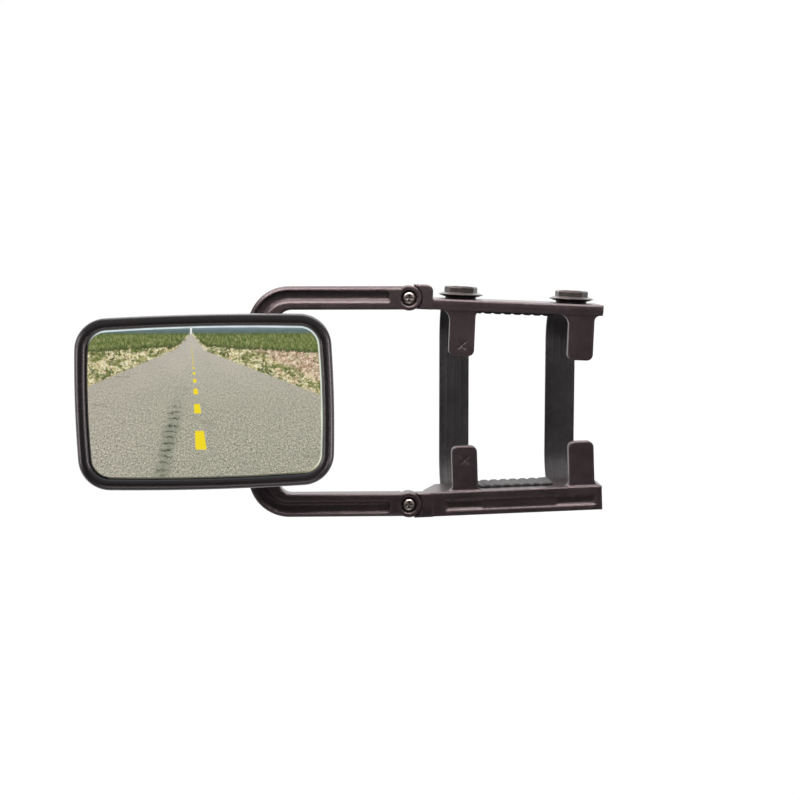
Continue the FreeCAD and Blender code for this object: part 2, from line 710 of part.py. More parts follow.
def build_upper_rail():
    body = rail_blank("upper_rail", upper_frame, bottom=-deck_thick, block_top=11.0,
                      bar_top=0, block_round=5.0)
    add_fingers(body, upper_fingers, -finger_tip, 2.5 - deck_thick)
    fillet(body, 8.5, finger_edges(upper_fingers, -deck_thick, sides=(-1,)))
    fillet(body, 4.6, finger_edges(upper_fingers, -deck_thick, sides=(1,)))
    fillet(body, 5.0, finger_edges(upper_fingers, -finger_tip))
    fillet(body, 2.4, along("y", [(rail_end, 0), (rail_end, -deck_thick)]), required=False)
    # knob bosses, each with a ring groove for the detent spring
    for _, x in knobs:
        pad(body, "XY", -0.5, 1.8, circle((x, knob_y), 12.6))
        pocket(body, "XY", 0.4, 1.8, *ring((x, knob_y), 11.2, 7.0))
    # underside: seat for the cover, two strap channels, lightening pockets
    front = -9.6
    pocket(body, "XY", -deck_thick, cover_seat_z, box(cover_x0, cover_x1, front, rail_back))
    for _, x in knobs:
        pocket(body, "XY", cover_seat_z, -1.7, box(x - 12.9, x + 12.9, front, rail_back))
        pocket(body, "XY", -1.8, 2.0, circle((x, knob_y), 4.1))
    pocket(body, "XY", cover_seat_z, -2.2, box(60, 84, -6, 34), box(92, 116, -6, 34))
    pocket(body, "XY", cover_seat_z, -1.8, *[circle(spot, 1.25) for spot in cover_spots])
    finger_details(body, upper_fingers, -36.0, upper_seat)
    # the front slopes back to the fingers
    slope_z = -5.2
    pocket(body, "YZ", 12, 158, polygon([
        (rail_front - 1, slope_z), (rail_front, slope_z),
        (finger_front, -deck_thick), (rail_front - 1, -deck_thick)]))
    rail_hinge_bore(body)
    fillet(body, 1.3, at_level("y", rail_front, lambda edge, bounds: (
        bounds.XLength > 60 and abs(bounds.ZMax) < 0.1)), required=False)


def build_cover():
    """Plate that closes the strap channels from below."""
    body = new_body("channel_cover", upper_frame)
    pad(body, "XY", cover_face_z, cover_seat_z - 0.05,
        box(cover_x0 + 0.2, cover_x1 - 0.2, -9.4, rail_back))
    pocket(body, "XY", cover_face_z, cover_seat_z,
           *[circle((x, knob_y), 4.0) for _, x in knobs],
           *[circle(spot, 1.6) for spot in cover_spots])
    chamfer(body, 1.1, at_level("z", cover_face_z, lambda edge, bounds: (
        isinstance(edge.Curve, Part.Circle) and bounds.XLength < 4)))


def build_cover_screws():
    """Countersunk screws, flush with the cover."""
    screws = []
    for i, (x, y) in enumerate(cover_spots):
        head = doc.addObject("Part::Cone", "sink%d" % i)
        head.Radius1, head.Radius2, head.Height = 2.7, 1.4, 1.3
        head.Placement = Placement(Vector(x, y, cover_face_z), Rotation())
        shank = doc.addObject("Part::Cylinder", "thread%d" % i)
        shank.Radius, shank.Height = 1.24, 5.6
        shank.Placement = Placement(Vector(x, y, cover_face_z + 0.7), Rotation())
        screw = doc.addObject("Part::Fuse", "cover_screw%d" % i)
        screw.Base, screw.Tool = head, shank
        screw.Placement = upper_frame
        screws.append(screw)
    group("cover_screws", screws)


def build_liner(name, frame, seat_z, away):
    """Grooved pad on a rail's inner face; away is the sense of Z from seat to free face."""
    face_z = seat_z + away * 2.6
    body = new_body(name, frame)
    pad(body, "XY", *ordered(seat_z, face_z), box(57, 119, 2, 34))
    fillet(body, 1.0, at_level("z", face_z))
    pocket(body, "XY", *ordered(face_z - away * 0.8, face_z),
           *[box(60 + 8 * i, 63 + 8 * i, 1, 35) for i in range(7)])
    return body


def build_liners():
    body = build_liner("upper_liner", upper_frame, cover_face_z, -1)
    # hole over the middle cover screw at the back
    pocket(body, "XY", -11.0, -8.3, circle((88, 30), 3.4))
    build_liner("lower_liner", lower_frame, low_top, 1)


def build_lower_rail():
    body = rail_blank("lower_rail", lower_frame, bottom=low_bottom, block_top=low_top,
                      bar_top=low_top)
    add_fingers(body, lower_fingers, low_top - 2.5, finger_tip)
    fillet(body, 4.6, finger_edges(lower_fingers, low_top))
    fillet(body, 5.0, finger_edges(lower_fingers, finger_tip))
    fillet(body, 4.0, along("y", [(rail_end, low_bottom), (rail_end, low_top)]), required=False)
    # strap slots, open to the back, and the holes for their anchor pins
    for _, x in anchors:
        pocket(body, "XZ", -9.0, rail_back, box(x - 14.3, x + 14.3, -9.2, 1.4))
        pocket(body, "YZ", x - 17.3, x + 17.3, circle((anchor_y, anchor_z), anchor_rad + 0.04))
    # long shallow recess in the front, deeper near its two ends
    pocket(body, "XZ", rail_front, rail_front + 0.9, box(29.5, 151.5, -6.4, 2.0))
    pocket(body, "XZ", rail_front + 0.8, rail_front + 2.3,
           box(30.8, 59.6, -5.4, 1.0), box(119.8, 150.0, -5.4, 1.0))
    # lightening pockets from underneath
    pocket(body, "XY", low_bottom, 6.8, box(64, 86, -9.5, 35), box(90, 112, -9.5, 35))
    finger_details(body, lower_fingers, 34.0, lower_seat)
    rail_hinge_bore(body)
    # the back corner beside the hinge is cut off at a slant
    pocket(body, "XY", low_bottom - 1, low_top + 1, polygon([
        (12, 3), (13, 3), (25.0, rail_back), (25.0, rail_back + 1), (12, rail_back + 1)]))


def build_finger_pads(name, frame, mids, seat):
    """Grooved pads in the backs of a rail's fingers."""
    low, high = seat[0] + seat_clear, seat[1] - seat_clear
    half = seat_half - seat_clear
    body = new_body(name, frame)
    for mid in mids:
        pad(body, "XZ", finger_back - 1, 0, box(mid - half, mid + half, low, high))
    fillet(body, 1.2, at_level("y", 0))
    groove_half = seat_half + 1
    starts = [low + 4.2 + 5 * i for i in range(5)]
    pocket(body, "XZ", -0.8, 0, *[
        box(mid - groove_half, mid + groove_half, z, z + 1.2) for mid in mids for z in starts])


def build_hinge_hardware(name, frame):
    """Head in the arm's counterbore, nut captive in the rail, washer in the lap joint."""
    pan_screw(name + "_hinge_screw", frame_in(frame, 0, -14.85, 0, Rotation(X_AXIS, 90)),
              shank_r=2.5, length=15.4, head_r=4.9, head_h=3.2)
    hex_nut(name + "_hinge_nut", frame_in(frame, 0, -5.9, 0, Rotation(X_AXIS, -90)),
            height=3.6, bore_r=2.51)
    body = new_body(name + "_hinge_washer", frame)
    pad(body, "XZ", lap_y - 0.45, lap_y + 0.45, *ring((0, 0), 8.2, 2.65))


def build_anchor_pin(name, mid):
    body = new_body(name, lower_frame)
    pad(body, "YZ", mid - 17.0, mid + 17.0, circle((anchor_y, anchor_z), anchor_rad))
    chamfer(body, 0.4, at_level("x", mid - 17.0))
    chamfer(body, 0.4, at_level("x", mid + 17.0))


# ======================= strap drive =====================================
# Each knob turns a pinion that runs in the toothed slot of a tongue.  The pieces
# are drawn in a frame with its Z axis on the knob's axis.
tooth_pitch = math.pi * pinion_module.value
pitch_r = pinion_teeth.value * pinion_module.value / 2
tooth_angle = math.radians(25)
rack_tip_x, rack_root_x = pitch_r - 0.8, pitch_r + 1.0
tongue_low, tongue_high = -4.2, -1.9
rivet_spots = [(-6.5, 25.5), (6.5, 25.5)]
rivet_hole_r = 1.55


def rack_half(x, grow=0.0):
    """Half width of a rack tooth at a distance from the pinion's axis."""
    return (tooth_pitch / 4 - 0.05 + (x - pitch_r) * math.tan(tooth_angle)
            + grow / math.cos(tooth_angle))


def pinion_profile():
    """Outline left when the rack's teeth roll past a round blank."""
    clearance, blank_r, core_r = 0.1, 4.7, 2.3
    steps = 16              # points in one tooth pitch
    tooth_turn = 2 * math.pi / pinion_teeth.value
    radii = []
    for i in range(steps):
        turn = tooth_turn * i / steps
        best = blank_r
        for k in range(-150, 151):
            angle = 1.15 * k / 150
            shift = (angle - turn) * pitch_r
            radius = core_r
            while radius < best:
                x, y = radius * math.cos(angle), radius * math.sin(angle)
                if x > rack_tip_x - clearance:
                    off = (y - shift) % tooth_pitch
                    if min(off, tooth_pitch - off) < rack_half(x, clearance):
                        best = radius
                        break
                radius += 0.02
        radii.append(best)
    points = []
    for tooth in range(int(pinion_teeth.value)):
        for i, radius in enumerate(radii):
            angle = tooth_turn * (tooth + i / steps)
            points.append(Vector(radius * math.cos(angle), radius * math.sin(angle), 0))
    return points


def build_pinion(name, frame, profile):
    """Toothed wheel with a hub under it and a hexagonal bore."""
    cog = Part.Face(Part.makePolygon(profile + [profile[0]])).extrude(Vector(0, 0, 2.5))
    cog.translate(Vector(0, 0, -4.4))
    cog = cog.fuse([Part.makeCylinder(3.3, 2.0, Vector(0, 0, -6.4))])
    corners = [Vector(x.value, y.value, -7) for x, y in regular(4.1)]
    bore = Part.Face(Part.makePolygon(corners + [corners[0]])).extrude(Vector(0, 0, 6))
    pinion = solid_piece(name, cog.cut(bore).removeSplitter())
    pinion.Placement = frame


def build_knob(name, frame, grip_turn):
    """Flanged knob with an eight-sided grip and a hexagonal stem for the pinion."""
    rim_low, rim_high = 3.5, 3.9
    grip_top = 10.2
    body = new_body(name, frame)
    rim = circle((0, 0), knob_rad)
    pad(body, "XY", rim_low, rim_high, rim)
    # thin edge, coned below and above
    loft(body, "Additive", "XY", (rim_low, rim), (2.0, circle((0, 0), knob_rad - 3.8)))
    loft(body, "Additive", "XY", (rim_high, rim), (5.2, circle((0, 0), knob_rad - 3.4)))
    grip_flats = grip_rad * 2 * math.cos(math.pi / 8)
    pad(body, "XY", 5.1, grip_top, polygon(regular(grip_flats, grip_turn, 8)))
    chamfer(body, 1.0, at_level("z", grip_top))
    pocket(body, "XY", grip_top - 1, grip_top, circle((0, 0), 8.0))
    # round stem through the rail, hexagon below it, screw hole
    pad(body, "XY", -1.75, 2.1, circle((0, 0), 3.9))
    pad(body, "XY", -6.2, -1.7, polygon(regular(4.0)))
    pocket(body, "XY", -6.2, 2.0, circle((0, 0), 1.25))
    # ring of pits underneath for the detent spring
    pit = pocket(body, "XY", 2.0, 2.8, circle((9.1, 0), 0.9))
    pits = body.newObject("PartDesign::PolarPattern", "Pits")
    pits.Originals = [pit]
    pits.Axis = (origin_part(body, "Z_Axis"), [""])
    pits.Angle = 360
    pits.Occurrences = 16
    body.Tip = pits
    doc.recompute()


def build_detent_spring(name, frame):
    """Flat ring with two raised pips."""
    body = new_body(name, frame)
    pad(body, "XY", 0.45, 1.0, *ring((0, 0), 10.8, 7.4))
    pad(body, "XY", 0.9, 1.85, circle((0, 9.1), 0.75), circle((0, -9.1), 0.75))
    fillet(body, 0.5, at_level("z", 1.85))


def build_tongue(name, frame):
    """Flat tongue with a toothed slot round the pinion."""
    half, front, back = 12, -15.2, 31
    body = new_body(name, frame)
    pad(body, "XY", tongue_low, tongue_high, box(-half, half, front, back))
    pocket(body, "XY", tongue_low, tongue_high,
           box(-5.4, rack_root_x, -5.2 - tongue_travel, 5.2 + tongue_travel))
    # seven teeth on the slot's +X side, from the foremost one
    tooth_count = 7
    tooth_y = -3 * tooth_pitch
    root_half, tip_half = rack_half(rack_root_x), rack_half(rack_tip_x)
    tooth = pad(body, "XY", tongue_low, tongue_high, polygon([
        (rack_root_x + 0.4, tooth_y - root_half), (rack_root_x + 0.4, tooth_y + root_half),
        (rack_root_x, tooth_y + root_half), (rack_tip_x, tooth_y + tip_half),
        (rack_tip_x, tooth_y - tip_half), (rack_root_x, tooth_y - root_half)]))
    teeth = body.newObject("PartDesign::LinearPattern", "Teeth")
    teeth.Originals = [tooth]
    teeth.Direction = (origin_part(body, "Y_Axis"), [""])
    teeth.Length = (tooth_count - 1) * tooth_pitch
    teeth.Occurrences = tooth_count
    body.Tip = teeth
    doc.recompute()
    fillet(body, 2.0, along("z", [(x, y) for x in (-half, half) for y in (front, back)]),
           required=False)
    pocket(body, "XY", tongue_low, tongue_high,
           *[circle(spot, rivet_hole_r) for spot in rivet_spots])


def build_rivets(name, frame):
    body = new_body(name, frame)
    pad(body, "XY", -6.65, -1.85, *[circle(spot, 1.5) for spot in rivet_spots])


def build_drives():
    profile = pinion_profile()
    grip_turns = {"a": 22.5, "b": 9.0}
    for tag, x in knobs:
        frame = frame_in(upper_frame, x, knob_y, 0)
        build_pinion("pinion_" + tag, frame, profile)
        build_knob("knob_" + tag, frame, grip_turns[tag])
        pan_screw("knob_screw_" + tag, frame_in(frame, 0, 0, -6.45, Rotation(X_AXIS, 180)),
                  shank_r=1.24, length=6.5, head_r=3.1, head_h=1.6)
        build_detent_spring("detent_spring_" + tag, frame)
        build_tongue("rack_tongue_" + tag, frame)
        build_rivets("strap_rivets_" + tag, frame)


# ======================= straps ==========================================
# A strap leaves its tongue level, runs round the back of the host and folds round
# its anchor pin in the lower rail.  The width of the band turns from one rail's
# slope to the other's on the way.
def strap_path(top_z, pin):
    """Centre line as (y, z, tangent angle), and the height of its lower run."""
    fold_r = anchor_rad.value + 0.5 + strap_thick.value / 2
    low_z = pin.z + fold_r
    bend_r = 30.0
    start_y = knob_y.value + 19.0
    back = strap_reach.value
    bend_y = back - bend_r
    upper_z, lower_z = top_z - bend_r, low_z + bend_r       # centres of the two bends
    path = [(start_y + step, top_z, 0.0) for step in (0, 6, 12.5)]
    for i in range(10):
        a = math.radians(10 * i)
        path.append((bend_y + bend_r * math.sin(a), upper_z + bend_r * math.cos(a), a))
    for i in range(1, 8):
        path.append((back, upper_z + (lower_z - upper_z) * i / 8, math.pi / 2))
    for i in range(10):
        a = math.radians(90 + 10 * i)
        path.append((bend_y + bend_r * math.sin(a), lower_z + bend_r * math.cos(a), a))
    path += [(y, low_z, math.pi) for y in (30.0, 15.0, 5.0)]
    for i in range(11):
        a = math.radians(180 + 18 * i)
        path.append((pin.y + fold_r * math.sin(a), pin.z - fold_r * math.cos(a), a))
    path.append((pin.y + 4.0, pin.z - fold_r, 2 * math.pi))
    return path, low_z


def build_strap(name, knob_x, anchor_x):
    top = upper_frame.multVec(Vector(knob_x, 0, -5.42))
    pin = lower_frame.multVec(Vector(anchor_x, anchor_y.value, anchor_z.value))
    path, low_z = strap_path(top.z, pin)
    half_wide, half_thick = strap_wide.value / 2, strap_thick.value / 2
    sections = []
    for y, z, angle in path:
        share = min(max((top.z - z) / (top.z - low_z), 0.0), 1.0)
        share = share * share * (3 - 2 * share)     # eased at both ends
        lean = math.radians(lean_upper.value + (-lean_lower.value - lean_upper.value) * share)
        wide = Vector(math.cos(lean), 0, -math.sin(lean))
        run = Vector(0, math.cos(angle), -math.sin(angle))
        run = (run - wide * run.dot(wide)).normalize()
        thick = wide.cross(run).normalize()
        centre = Vector(top.x + (pin.x - top.x) * share, y, z)
        corners = [centre + wide * (i * half_wide) + thick * (j * half_thick)
                   for i, j in ((-1, -1), (1, -1), (1, 1), (-1, 1))]
        sections.append(Part.makePolygon(corners + [corners[0]]))
    band = Part.makeLoft(sections, True, True)
    for x, y in rivet_spots:
        foot = upper_frame.multVec(Vector(knob_x + x, knob_y.value + y, -8))
        axis = upper_frame.Rotation.multVec(Z_AXIS)
        band = band.cut(Part.makeCylinder(rivet_hole_r, 6, foot, axis))
    solid_piece(name, band)


# ======================= build and export ================================
build_bezel()
build_shell()
build_glass()
build_foam()
build_case_screws()
build_swivel_block()
build_swivel_hardware()
build_yoke()
build_upper_rail()
build_cover()
build_cover_screws()
build_liners()
build_lower_rail()
build_finger_pads("upper_finger_pads", upper_frame, upper_fingers, upper_seat)
build_finger_pads("lower_finger_pads", lower_frame, lower_fingers, lower_seat)
build_hinge_hardware("upper", upper_frame)
build_hinge_hardware("lower", lower_frame)
for tag, x in anchors:
    build_anchor_pin("anchor_pin_" + tag, x)
build_drives()
for (tag, knob_x), (_, anchor_x) in zip(knobs, anchors):
    build_strap("strap_" + tag, knob_x.value, anchor_x)

doc.recompute()
bad = [o.Name for o in doc.Objects if "Invalid" in o.State or "Error" in o.State]
if bad:
    raise RuntimeError("not computed: " + ", ".join(bad))
os.makedirs("parts", exist_ok=True)
for old in os.listdir("parts"):
    os.remove(os.path.join("parts", old))
for piece in pieces:
    shape = piece.Shape
    if shape.isNull() or not shape.isValid() or not shape.Solids:
        raise RuntimeError("bad shape: " + piece.Label)
    shape.exportStep("parts/%s.step" % piece.Label)
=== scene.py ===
"""A mirror on a clamp with two rails and two rubber straps, in the product's row frame.

X runs across the glass, Y from the front (-Y, towards the camera) to the back, Z up.
The head's outline, the straps and the rubber pads are modelled here in millimetres and
scaled by MM.
"""
import bpy
import bmesh
import json
import math
import random
from functools import cached_property
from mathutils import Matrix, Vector

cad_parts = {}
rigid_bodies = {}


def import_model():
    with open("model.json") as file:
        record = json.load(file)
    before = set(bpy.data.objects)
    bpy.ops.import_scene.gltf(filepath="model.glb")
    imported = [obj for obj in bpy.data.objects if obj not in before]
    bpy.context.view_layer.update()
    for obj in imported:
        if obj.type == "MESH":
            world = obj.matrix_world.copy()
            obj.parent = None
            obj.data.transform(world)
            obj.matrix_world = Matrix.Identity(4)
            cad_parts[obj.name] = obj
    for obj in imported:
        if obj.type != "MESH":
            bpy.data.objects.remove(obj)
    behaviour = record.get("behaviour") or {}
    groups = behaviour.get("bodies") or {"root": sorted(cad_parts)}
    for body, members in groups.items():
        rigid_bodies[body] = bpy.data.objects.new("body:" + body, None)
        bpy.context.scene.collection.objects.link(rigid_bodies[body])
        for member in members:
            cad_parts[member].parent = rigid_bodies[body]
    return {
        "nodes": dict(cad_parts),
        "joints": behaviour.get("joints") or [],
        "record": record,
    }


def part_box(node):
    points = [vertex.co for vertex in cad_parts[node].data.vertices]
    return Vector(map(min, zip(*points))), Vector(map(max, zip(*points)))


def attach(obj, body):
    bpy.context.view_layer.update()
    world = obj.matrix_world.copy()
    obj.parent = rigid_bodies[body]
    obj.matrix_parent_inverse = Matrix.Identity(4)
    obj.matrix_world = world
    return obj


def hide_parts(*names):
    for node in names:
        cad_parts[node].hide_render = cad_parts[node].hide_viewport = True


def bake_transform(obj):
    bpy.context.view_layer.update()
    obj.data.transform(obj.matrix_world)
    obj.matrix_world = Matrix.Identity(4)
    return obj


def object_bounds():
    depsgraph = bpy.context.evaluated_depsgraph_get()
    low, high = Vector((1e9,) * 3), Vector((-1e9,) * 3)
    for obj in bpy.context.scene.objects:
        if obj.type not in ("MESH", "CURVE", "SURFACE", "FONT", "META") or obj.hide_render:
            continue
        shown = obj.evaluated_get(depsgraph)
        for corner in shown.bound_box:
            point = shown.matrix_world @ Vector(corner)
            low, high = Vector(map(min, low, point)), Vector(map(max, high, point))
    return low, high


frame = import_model()
cad_low, cad_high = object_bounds()
nodes = frame["nodes"]
slot_of = {part["node"]: part["material_slot"] for part in frame["record"]["subparts"]}
joints = {joint["name"]: joint for joint in frame["joints"]}
random.seed(7)
scene = bpy.context.scene
MM = 0.001

head_low, head_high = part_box("head_bezel")
HEAD_CENTRE = (head_low + head_high) / 2
GLASS_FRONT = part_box("mirror_glass")[0].y

# camera: turned about Z and raised from the -Y axis, looking at the target
AZIMUTH = math.radians(-3.0)
ELEVATION = math.radians(5.0)
DISTANCE = 1.5
LENS = 84.4
SENSOR_WIDTH = 36
CAMERA_TARGET = Vector((-0.0972, -0.016, 0.0015))
CAMERA_AT = CAMERA_TARGET + DISTANCE * Vector((
    math.sin(AZIMUTH) * math.cos(ELEVATION),
    -math.cos(AZIMUTH) * math.cos(ELEVATION),
    math.sin(ELEVATION)))


# ------------------------------------------------------------------ node trees
def both_ways(kind):
    """A Math node as an operator, for value-first and number-first use."""
    def forward(self, other):
        return self.tree.math(kind, self, other)

    def backward(self, other):
        return self.tree.math(kind, other, self)
    return forward, backward


class Value:
    """A node's number output; arithmetic on it adds Math nodes."""

    def __init__(self, tree, socket):
        self.tree = tree
        self.socket = socket

    __add__, __radd__ = both_ways("ADD")
    __sub__, __rsub__ = both_ways("SUBTRACT")
    __mul__, __rmul__ = both_ways("MULTIPLY")
    __truediv__, __rtruediv__ = both_ways("DIVIDE")

    def __abs__(self):
        return self.tree.math("ABSOLUTE", self)

    def clamped(self):
        """Limits this Math node's own result to 0..1."""
        self.socket.node.use_clamp = True
        return self


class Tree:
    """Short hand for building a node tree.  Colours are linear (r, g, b)."""

    def __init__(self, node_tree):
        self.node_tree = node_tree

    @cached_property
    def coord(self):
        return self.node("TexCoord")

    def node(self, kind, **props):
        node = self.node_tree.nodes.new("ShaderNode" + kind)
        for key, value in props.items():
            setattr(node, key, value)
        return node

    def put(self, socket, value):
        """Links an output to the socket, or sets a plain value."""
        if isinstance(value, Value):
            value = value.socket
        if isinstance(value, bpy.types.NodeSocket):
            self.node_tree.links.new(value, socket)
        elif socket.type == "RGBA":
            socket.default_value = (*value, 1.0)
        else:
            socket.default_value = value

    def math(self, kind, *operands):
        node = self.node("Math", operation=kind)
        for socket, operand in zip(node.inputs, operands):
            self.put(socket, operand)
        return Value(self, node.outputs[0])

    def split(self, vector):
        node = self.node("SeparateXYZ")
        self.put(node.inputs[0], vector)
        return [Value(self, socket) for socket in node.outputs]

    def fade(self, value, span, to=(0.0, 1.0)):
        """Maps the span to another range and holds it beyond the ends."""
        node = self.node("MapRange", clamp=True)
        self.put(node.inputs["Value"], value)
        node.inputs["From Min"].default_value, node.inputs["From Max"].default_value = span
        node.inputs["To Min"].default_value, node.inputs["To Max"].default_value = to
        return Value(self, node.outputs[0])

    def ramp(self, value, stops):
        """Colour ramp from (position, colour) stops."""
        node = self.node("ValToRGB")
        elements = node.color_ramp.elements
        while len(elements) < len(stops):
            elements.new(0.5)
        for element, (position, colour) in zip(elements, stops):
            element.position = position
            element.color = (*colour, 1.0)
        self.put(node.inputs[0], value)
        return node.outputs[0]

    def tones(self, value, span, dark, light):
        return self.ramp(self.fade(value, span), [(0.0, dark), (1.0, light)])

    def noise(self, scale, detail=3, rough=0.55, vector=None, stretch=None, distort=0.0):
        node = self.node("TexNoise")
        vector = self.coord.outputs["Object"] if vector is None else vector
        if stretch is not None:
            mapping = self.node("Mapping")
            self.put(mapping.inputs["Vector"], vector)
            mapping.inputs["Scale"].default_value = stretch
            vector = mapping.outputs[0]
        self.put(node.inputs["Vector"], vector)
        node.inputs["Scale"].default_value = scale
        node.inputs["Detail"].default_value = detail
        node.inputs["Roughness"].default_value = rough
        node.inputs["Distortion"].default_value = distort
        return Value(self, node.outputs["Fac"])

    def voronoi(self, scale, vector):
        node = self.node("TexVoronoi")
        self.put(node.inputs["Vector"], vector)
        node.inputs["Scale"].default_value = scale
        return node

    def mix(self, amount, first, second):
        """Colour mix: amount 0 gives the first, 1 the second."""
        node = self.node("Mix", data_type="RGBA")
        for index, value in ((0, amount), (6, first), (7, second)):
            self.put(node.inputs[index], value)
        return node.outputs[2]

    def mix_value(self, amount, first, second):
        node = self.node("Mix", data_type="FLOAT")
        for index, value in ((0, amount), (2, first), (3, second)):
            self.put(node.inputs[index], value)
        return Value(self, node.outputs[0])


class MaterialTree(Tree):
    def __init__(self, name):
        self.material = bpy.data.materials.new(name)
        self.material.use_nodes = True
        super().__init__(self.material.node_tree)
        self.node_tree.nodes.clear()
        self.output = self.node("OutputMaterial")

    def bump(self, height, distance, strength, normal=None):
        node = self.node("Bump")
        node.inputs["Strength"].default_value = strength
        node.inputs["Distance"].default_value = distance
        self.put(node.inputs["Height"], height)
        if normal is not None:
            self.put(node.inputs["Normal"], normal)
        return node.outputs[0]

    def edges(self, radius):
        """Rounded normal, and a mask that is 1 on edges and 0 on flats."""
        bevel = self.node("Bevel", samples=6)
        bevel.inputs["Radius"].default_value = radius
        geometry = self.node("NewGeometry")
        dot = self.node("VectorMath", operation="DOT_PRODUCT")
        self.put(dot.inputs[0], bevel.outputs[0])
        self.put(dot.inputs[1], geometry.outputs["Normal"])
        return bevel.outputs[0], self.fade(dot.outputs["Value"], (0.995, 0.86))

    def principled(self, **inputs):
        node = self.node("BsdfPrincipled")
        for key, value in inputs.items():
            self.put(node.inputs[key.replace("_", " ")], value)
        return node.outputs[0]

    def emission(self, colour, strength=1.0):
        node = self.node("Emission")
        self.put(node.inputs[0], colour)
        self.put(node.inputs[1], strength)
        return node.outputs[0]

    def mix_shader(self, amount, first, second):
        node = self.node("MixShader")
        for socket, value in zip(node.inputs, (amount, first, second)):
            self.put(socket, value)
        return node.outputs[0]

    def surface(self, shader):
        self.put(self.output.inputs["Surface"], shader)
        return self.material


def srgb(*channels):
    """Linear colour from 0..255 sRGB channels."""
    def linear(value):
        value /= 255.0
        return value / 12.92 if value <= 0.04045 else ((value + 0.055) / 1.055) ** 2.4
    return tuple(linear(channel) for channel in channels)


def scaled(tone, factor):
    return tuple(value * factor for value in tone)


# ------------------------------------------------------------------ solid materials
def black_plastic(name, dark, light, rough, gloss, tint=(1.0, 0.80, 0.82), round_off=0.0006):
    """Moulded plastic: fine grain, dusty tone, rubbed edges, hairline scratches."""
    t = MaterialTree(name)
    soft, edge = t.edges(round_off)
    cloud = t.noise(scale=28, detail=4, rough=0.6)
    blotch = t.noise(scale=130, rough=0.6)
    base = t.tones(cloud * 0.65 + blotch * 0.35, (0.36, 0.64), dark, light)
    dust = t.fade(t.noise(scale=520, detail=5, rough=0.75), (0.56, 0.78), to=(0.0, 0.16))
    base = t.mix(dust, base, (0.15, 0.125, 0.125))
    worn = t.fade(t.noise(scale=240, detail=4, rough=0.7), (0.42, 0.62))
    wear = edge * worn * 0.55
    base = t.mix(wear, base, (0.11, 0.085, 0.088))
    # scratches: the thin mid-level contour of a stretched noise, in patches
    hairs = t.noise(scale=60, detail=2, rough=0.5, stretch=(0.35, 9.0, 22.0), distort=0.35)
    scratch = t.fade(abs(hairs - 0.5), (0.0045, 0.0))
    scratch = scratch * t.fade(t.noise(scale=35, detail=2), (0.52, 0.66))
    base = t.mix(scratch * 0.22, base, (0.2, 0.18, 0.18))
    roughness = rough - 0.06 + blotch * 0.12
    roughness = (roughness - wear * 0.14).clamped()
    roughness = (roughness + dust * 0.8).clamped()
    grain = t.noise(scale=3300, rough=0.6) + t.noise(scale=900, detail=2) * 0.6
    normal = t.bump(grain, distance=0.00004, strength=0.8, normal=soft)
    waves = t.noise(scale=45, detail=2)
    normal = t.bump(waves, distance=0.00022, strength=0.35, normal=normal)
    return t.surface(t.principled(
        Base_Color=base, Roughness=roughness, Normal=normal, Specular_IOR_Level=gloss,
        Specular_Tint=tint, Coat_Weight=0.0, Coat_Roughness=0.25))


def steel(name, tone, rough, stretch=(1, 1, 1), tint=None, cavity=False):
    """Brushed metal with dark spots; the recess option paints shade into the recesses."""
    t = MaterialTree(name)
    soft, edge = t.edges(0.0003)
    brushed = t.noise(scale=900, rough=0.6, stretch=stretch)
    cloud = t.noise(scale=160, detail=4, rough=0.65)
    base = t.tones(cloud, (0.35, 0.65), scaled(tone, 0.80), tone)
    if tint is not None:
        base = t.mix(t.fade(t.noise(scale=90), (0.5, 0.7), to=(0.0, 0.35)), base, tint)
    base = t.mix(edge * 0.35, base, tuple(min(1, value * 1.5 + 0.1) for value in tone))
    spots = t.fade(t.noise(scale=1400, detail=4, rough=0.7), (0.66, 0.78), to=(0.0, 0.5))
    base = t.mix(spots, base, scaled(tone, 0.35))
    roughness = rough - 0.07 + brushed * 0.16
    if cavity:
        # painted shade: ambient occlusion darkens and roughens the recesses, such as the screw's
        # cross
        occlusion = t.node("AmbientOcclusion", samples=8)
        occlusion.inputs["Distance"].default_value = 0.0022
        exposed = t.fade(occlusion.outputs["AO"], (0.42, 0.88))
        base = t.mix(exposed, (0.010, 0.009, 0.009), base)
        roughness = (roughness + (1.0 - exposed) * 0.4).clamped()
    normal = t.bump(brushed, distance=0.00003, strength=0.6, normal=soft)
    return t.surface(t.principled(
        Base_Color=base, Roughness=roughness, Normal=normal, Metallic=1.0))


def rubber(name, dark, light, rough=0.62):
    """Matt rubber with a pale bloom and a little sheen."""
    t = MaterialTree(name)
    soft, edge = t.edges(0.0005)
    cloud = t.noise(scale=60, detail=4, rough=0.65)
    base = t.tones(cloud, (0.34, 0.66), dark, light)
    bloom = t.fade(t.noise(scale=210, detail=5, rough=0.75), (0.52, 0.75), to=(0.0, 0.14))
    base = t.mix(bloom, base, (0.12, 0.11, 0.108))
    base = t.mix(edge * 0.3, base, (0.12, 0.11, 0.11))
    roughness = (rough + t.noise(scale=300) * 0.16).clamped()
    grain = t.noise(scale=2200, rough=0.65)
    normal = t.bump(grain, distance=0.00006, strength=0.8, normal=soft)
    waves = t.noise(scale=70, detail=2)
    normal = t.bump(waves, distance=0.0003, strength=0.3, normal=normal)
    return t.surface(t.principled(
        Base_Color=base, Roughness=roughness, Normal=normal,
        Sheen_Weight=0.08, Sheen_Roughness=0.5))


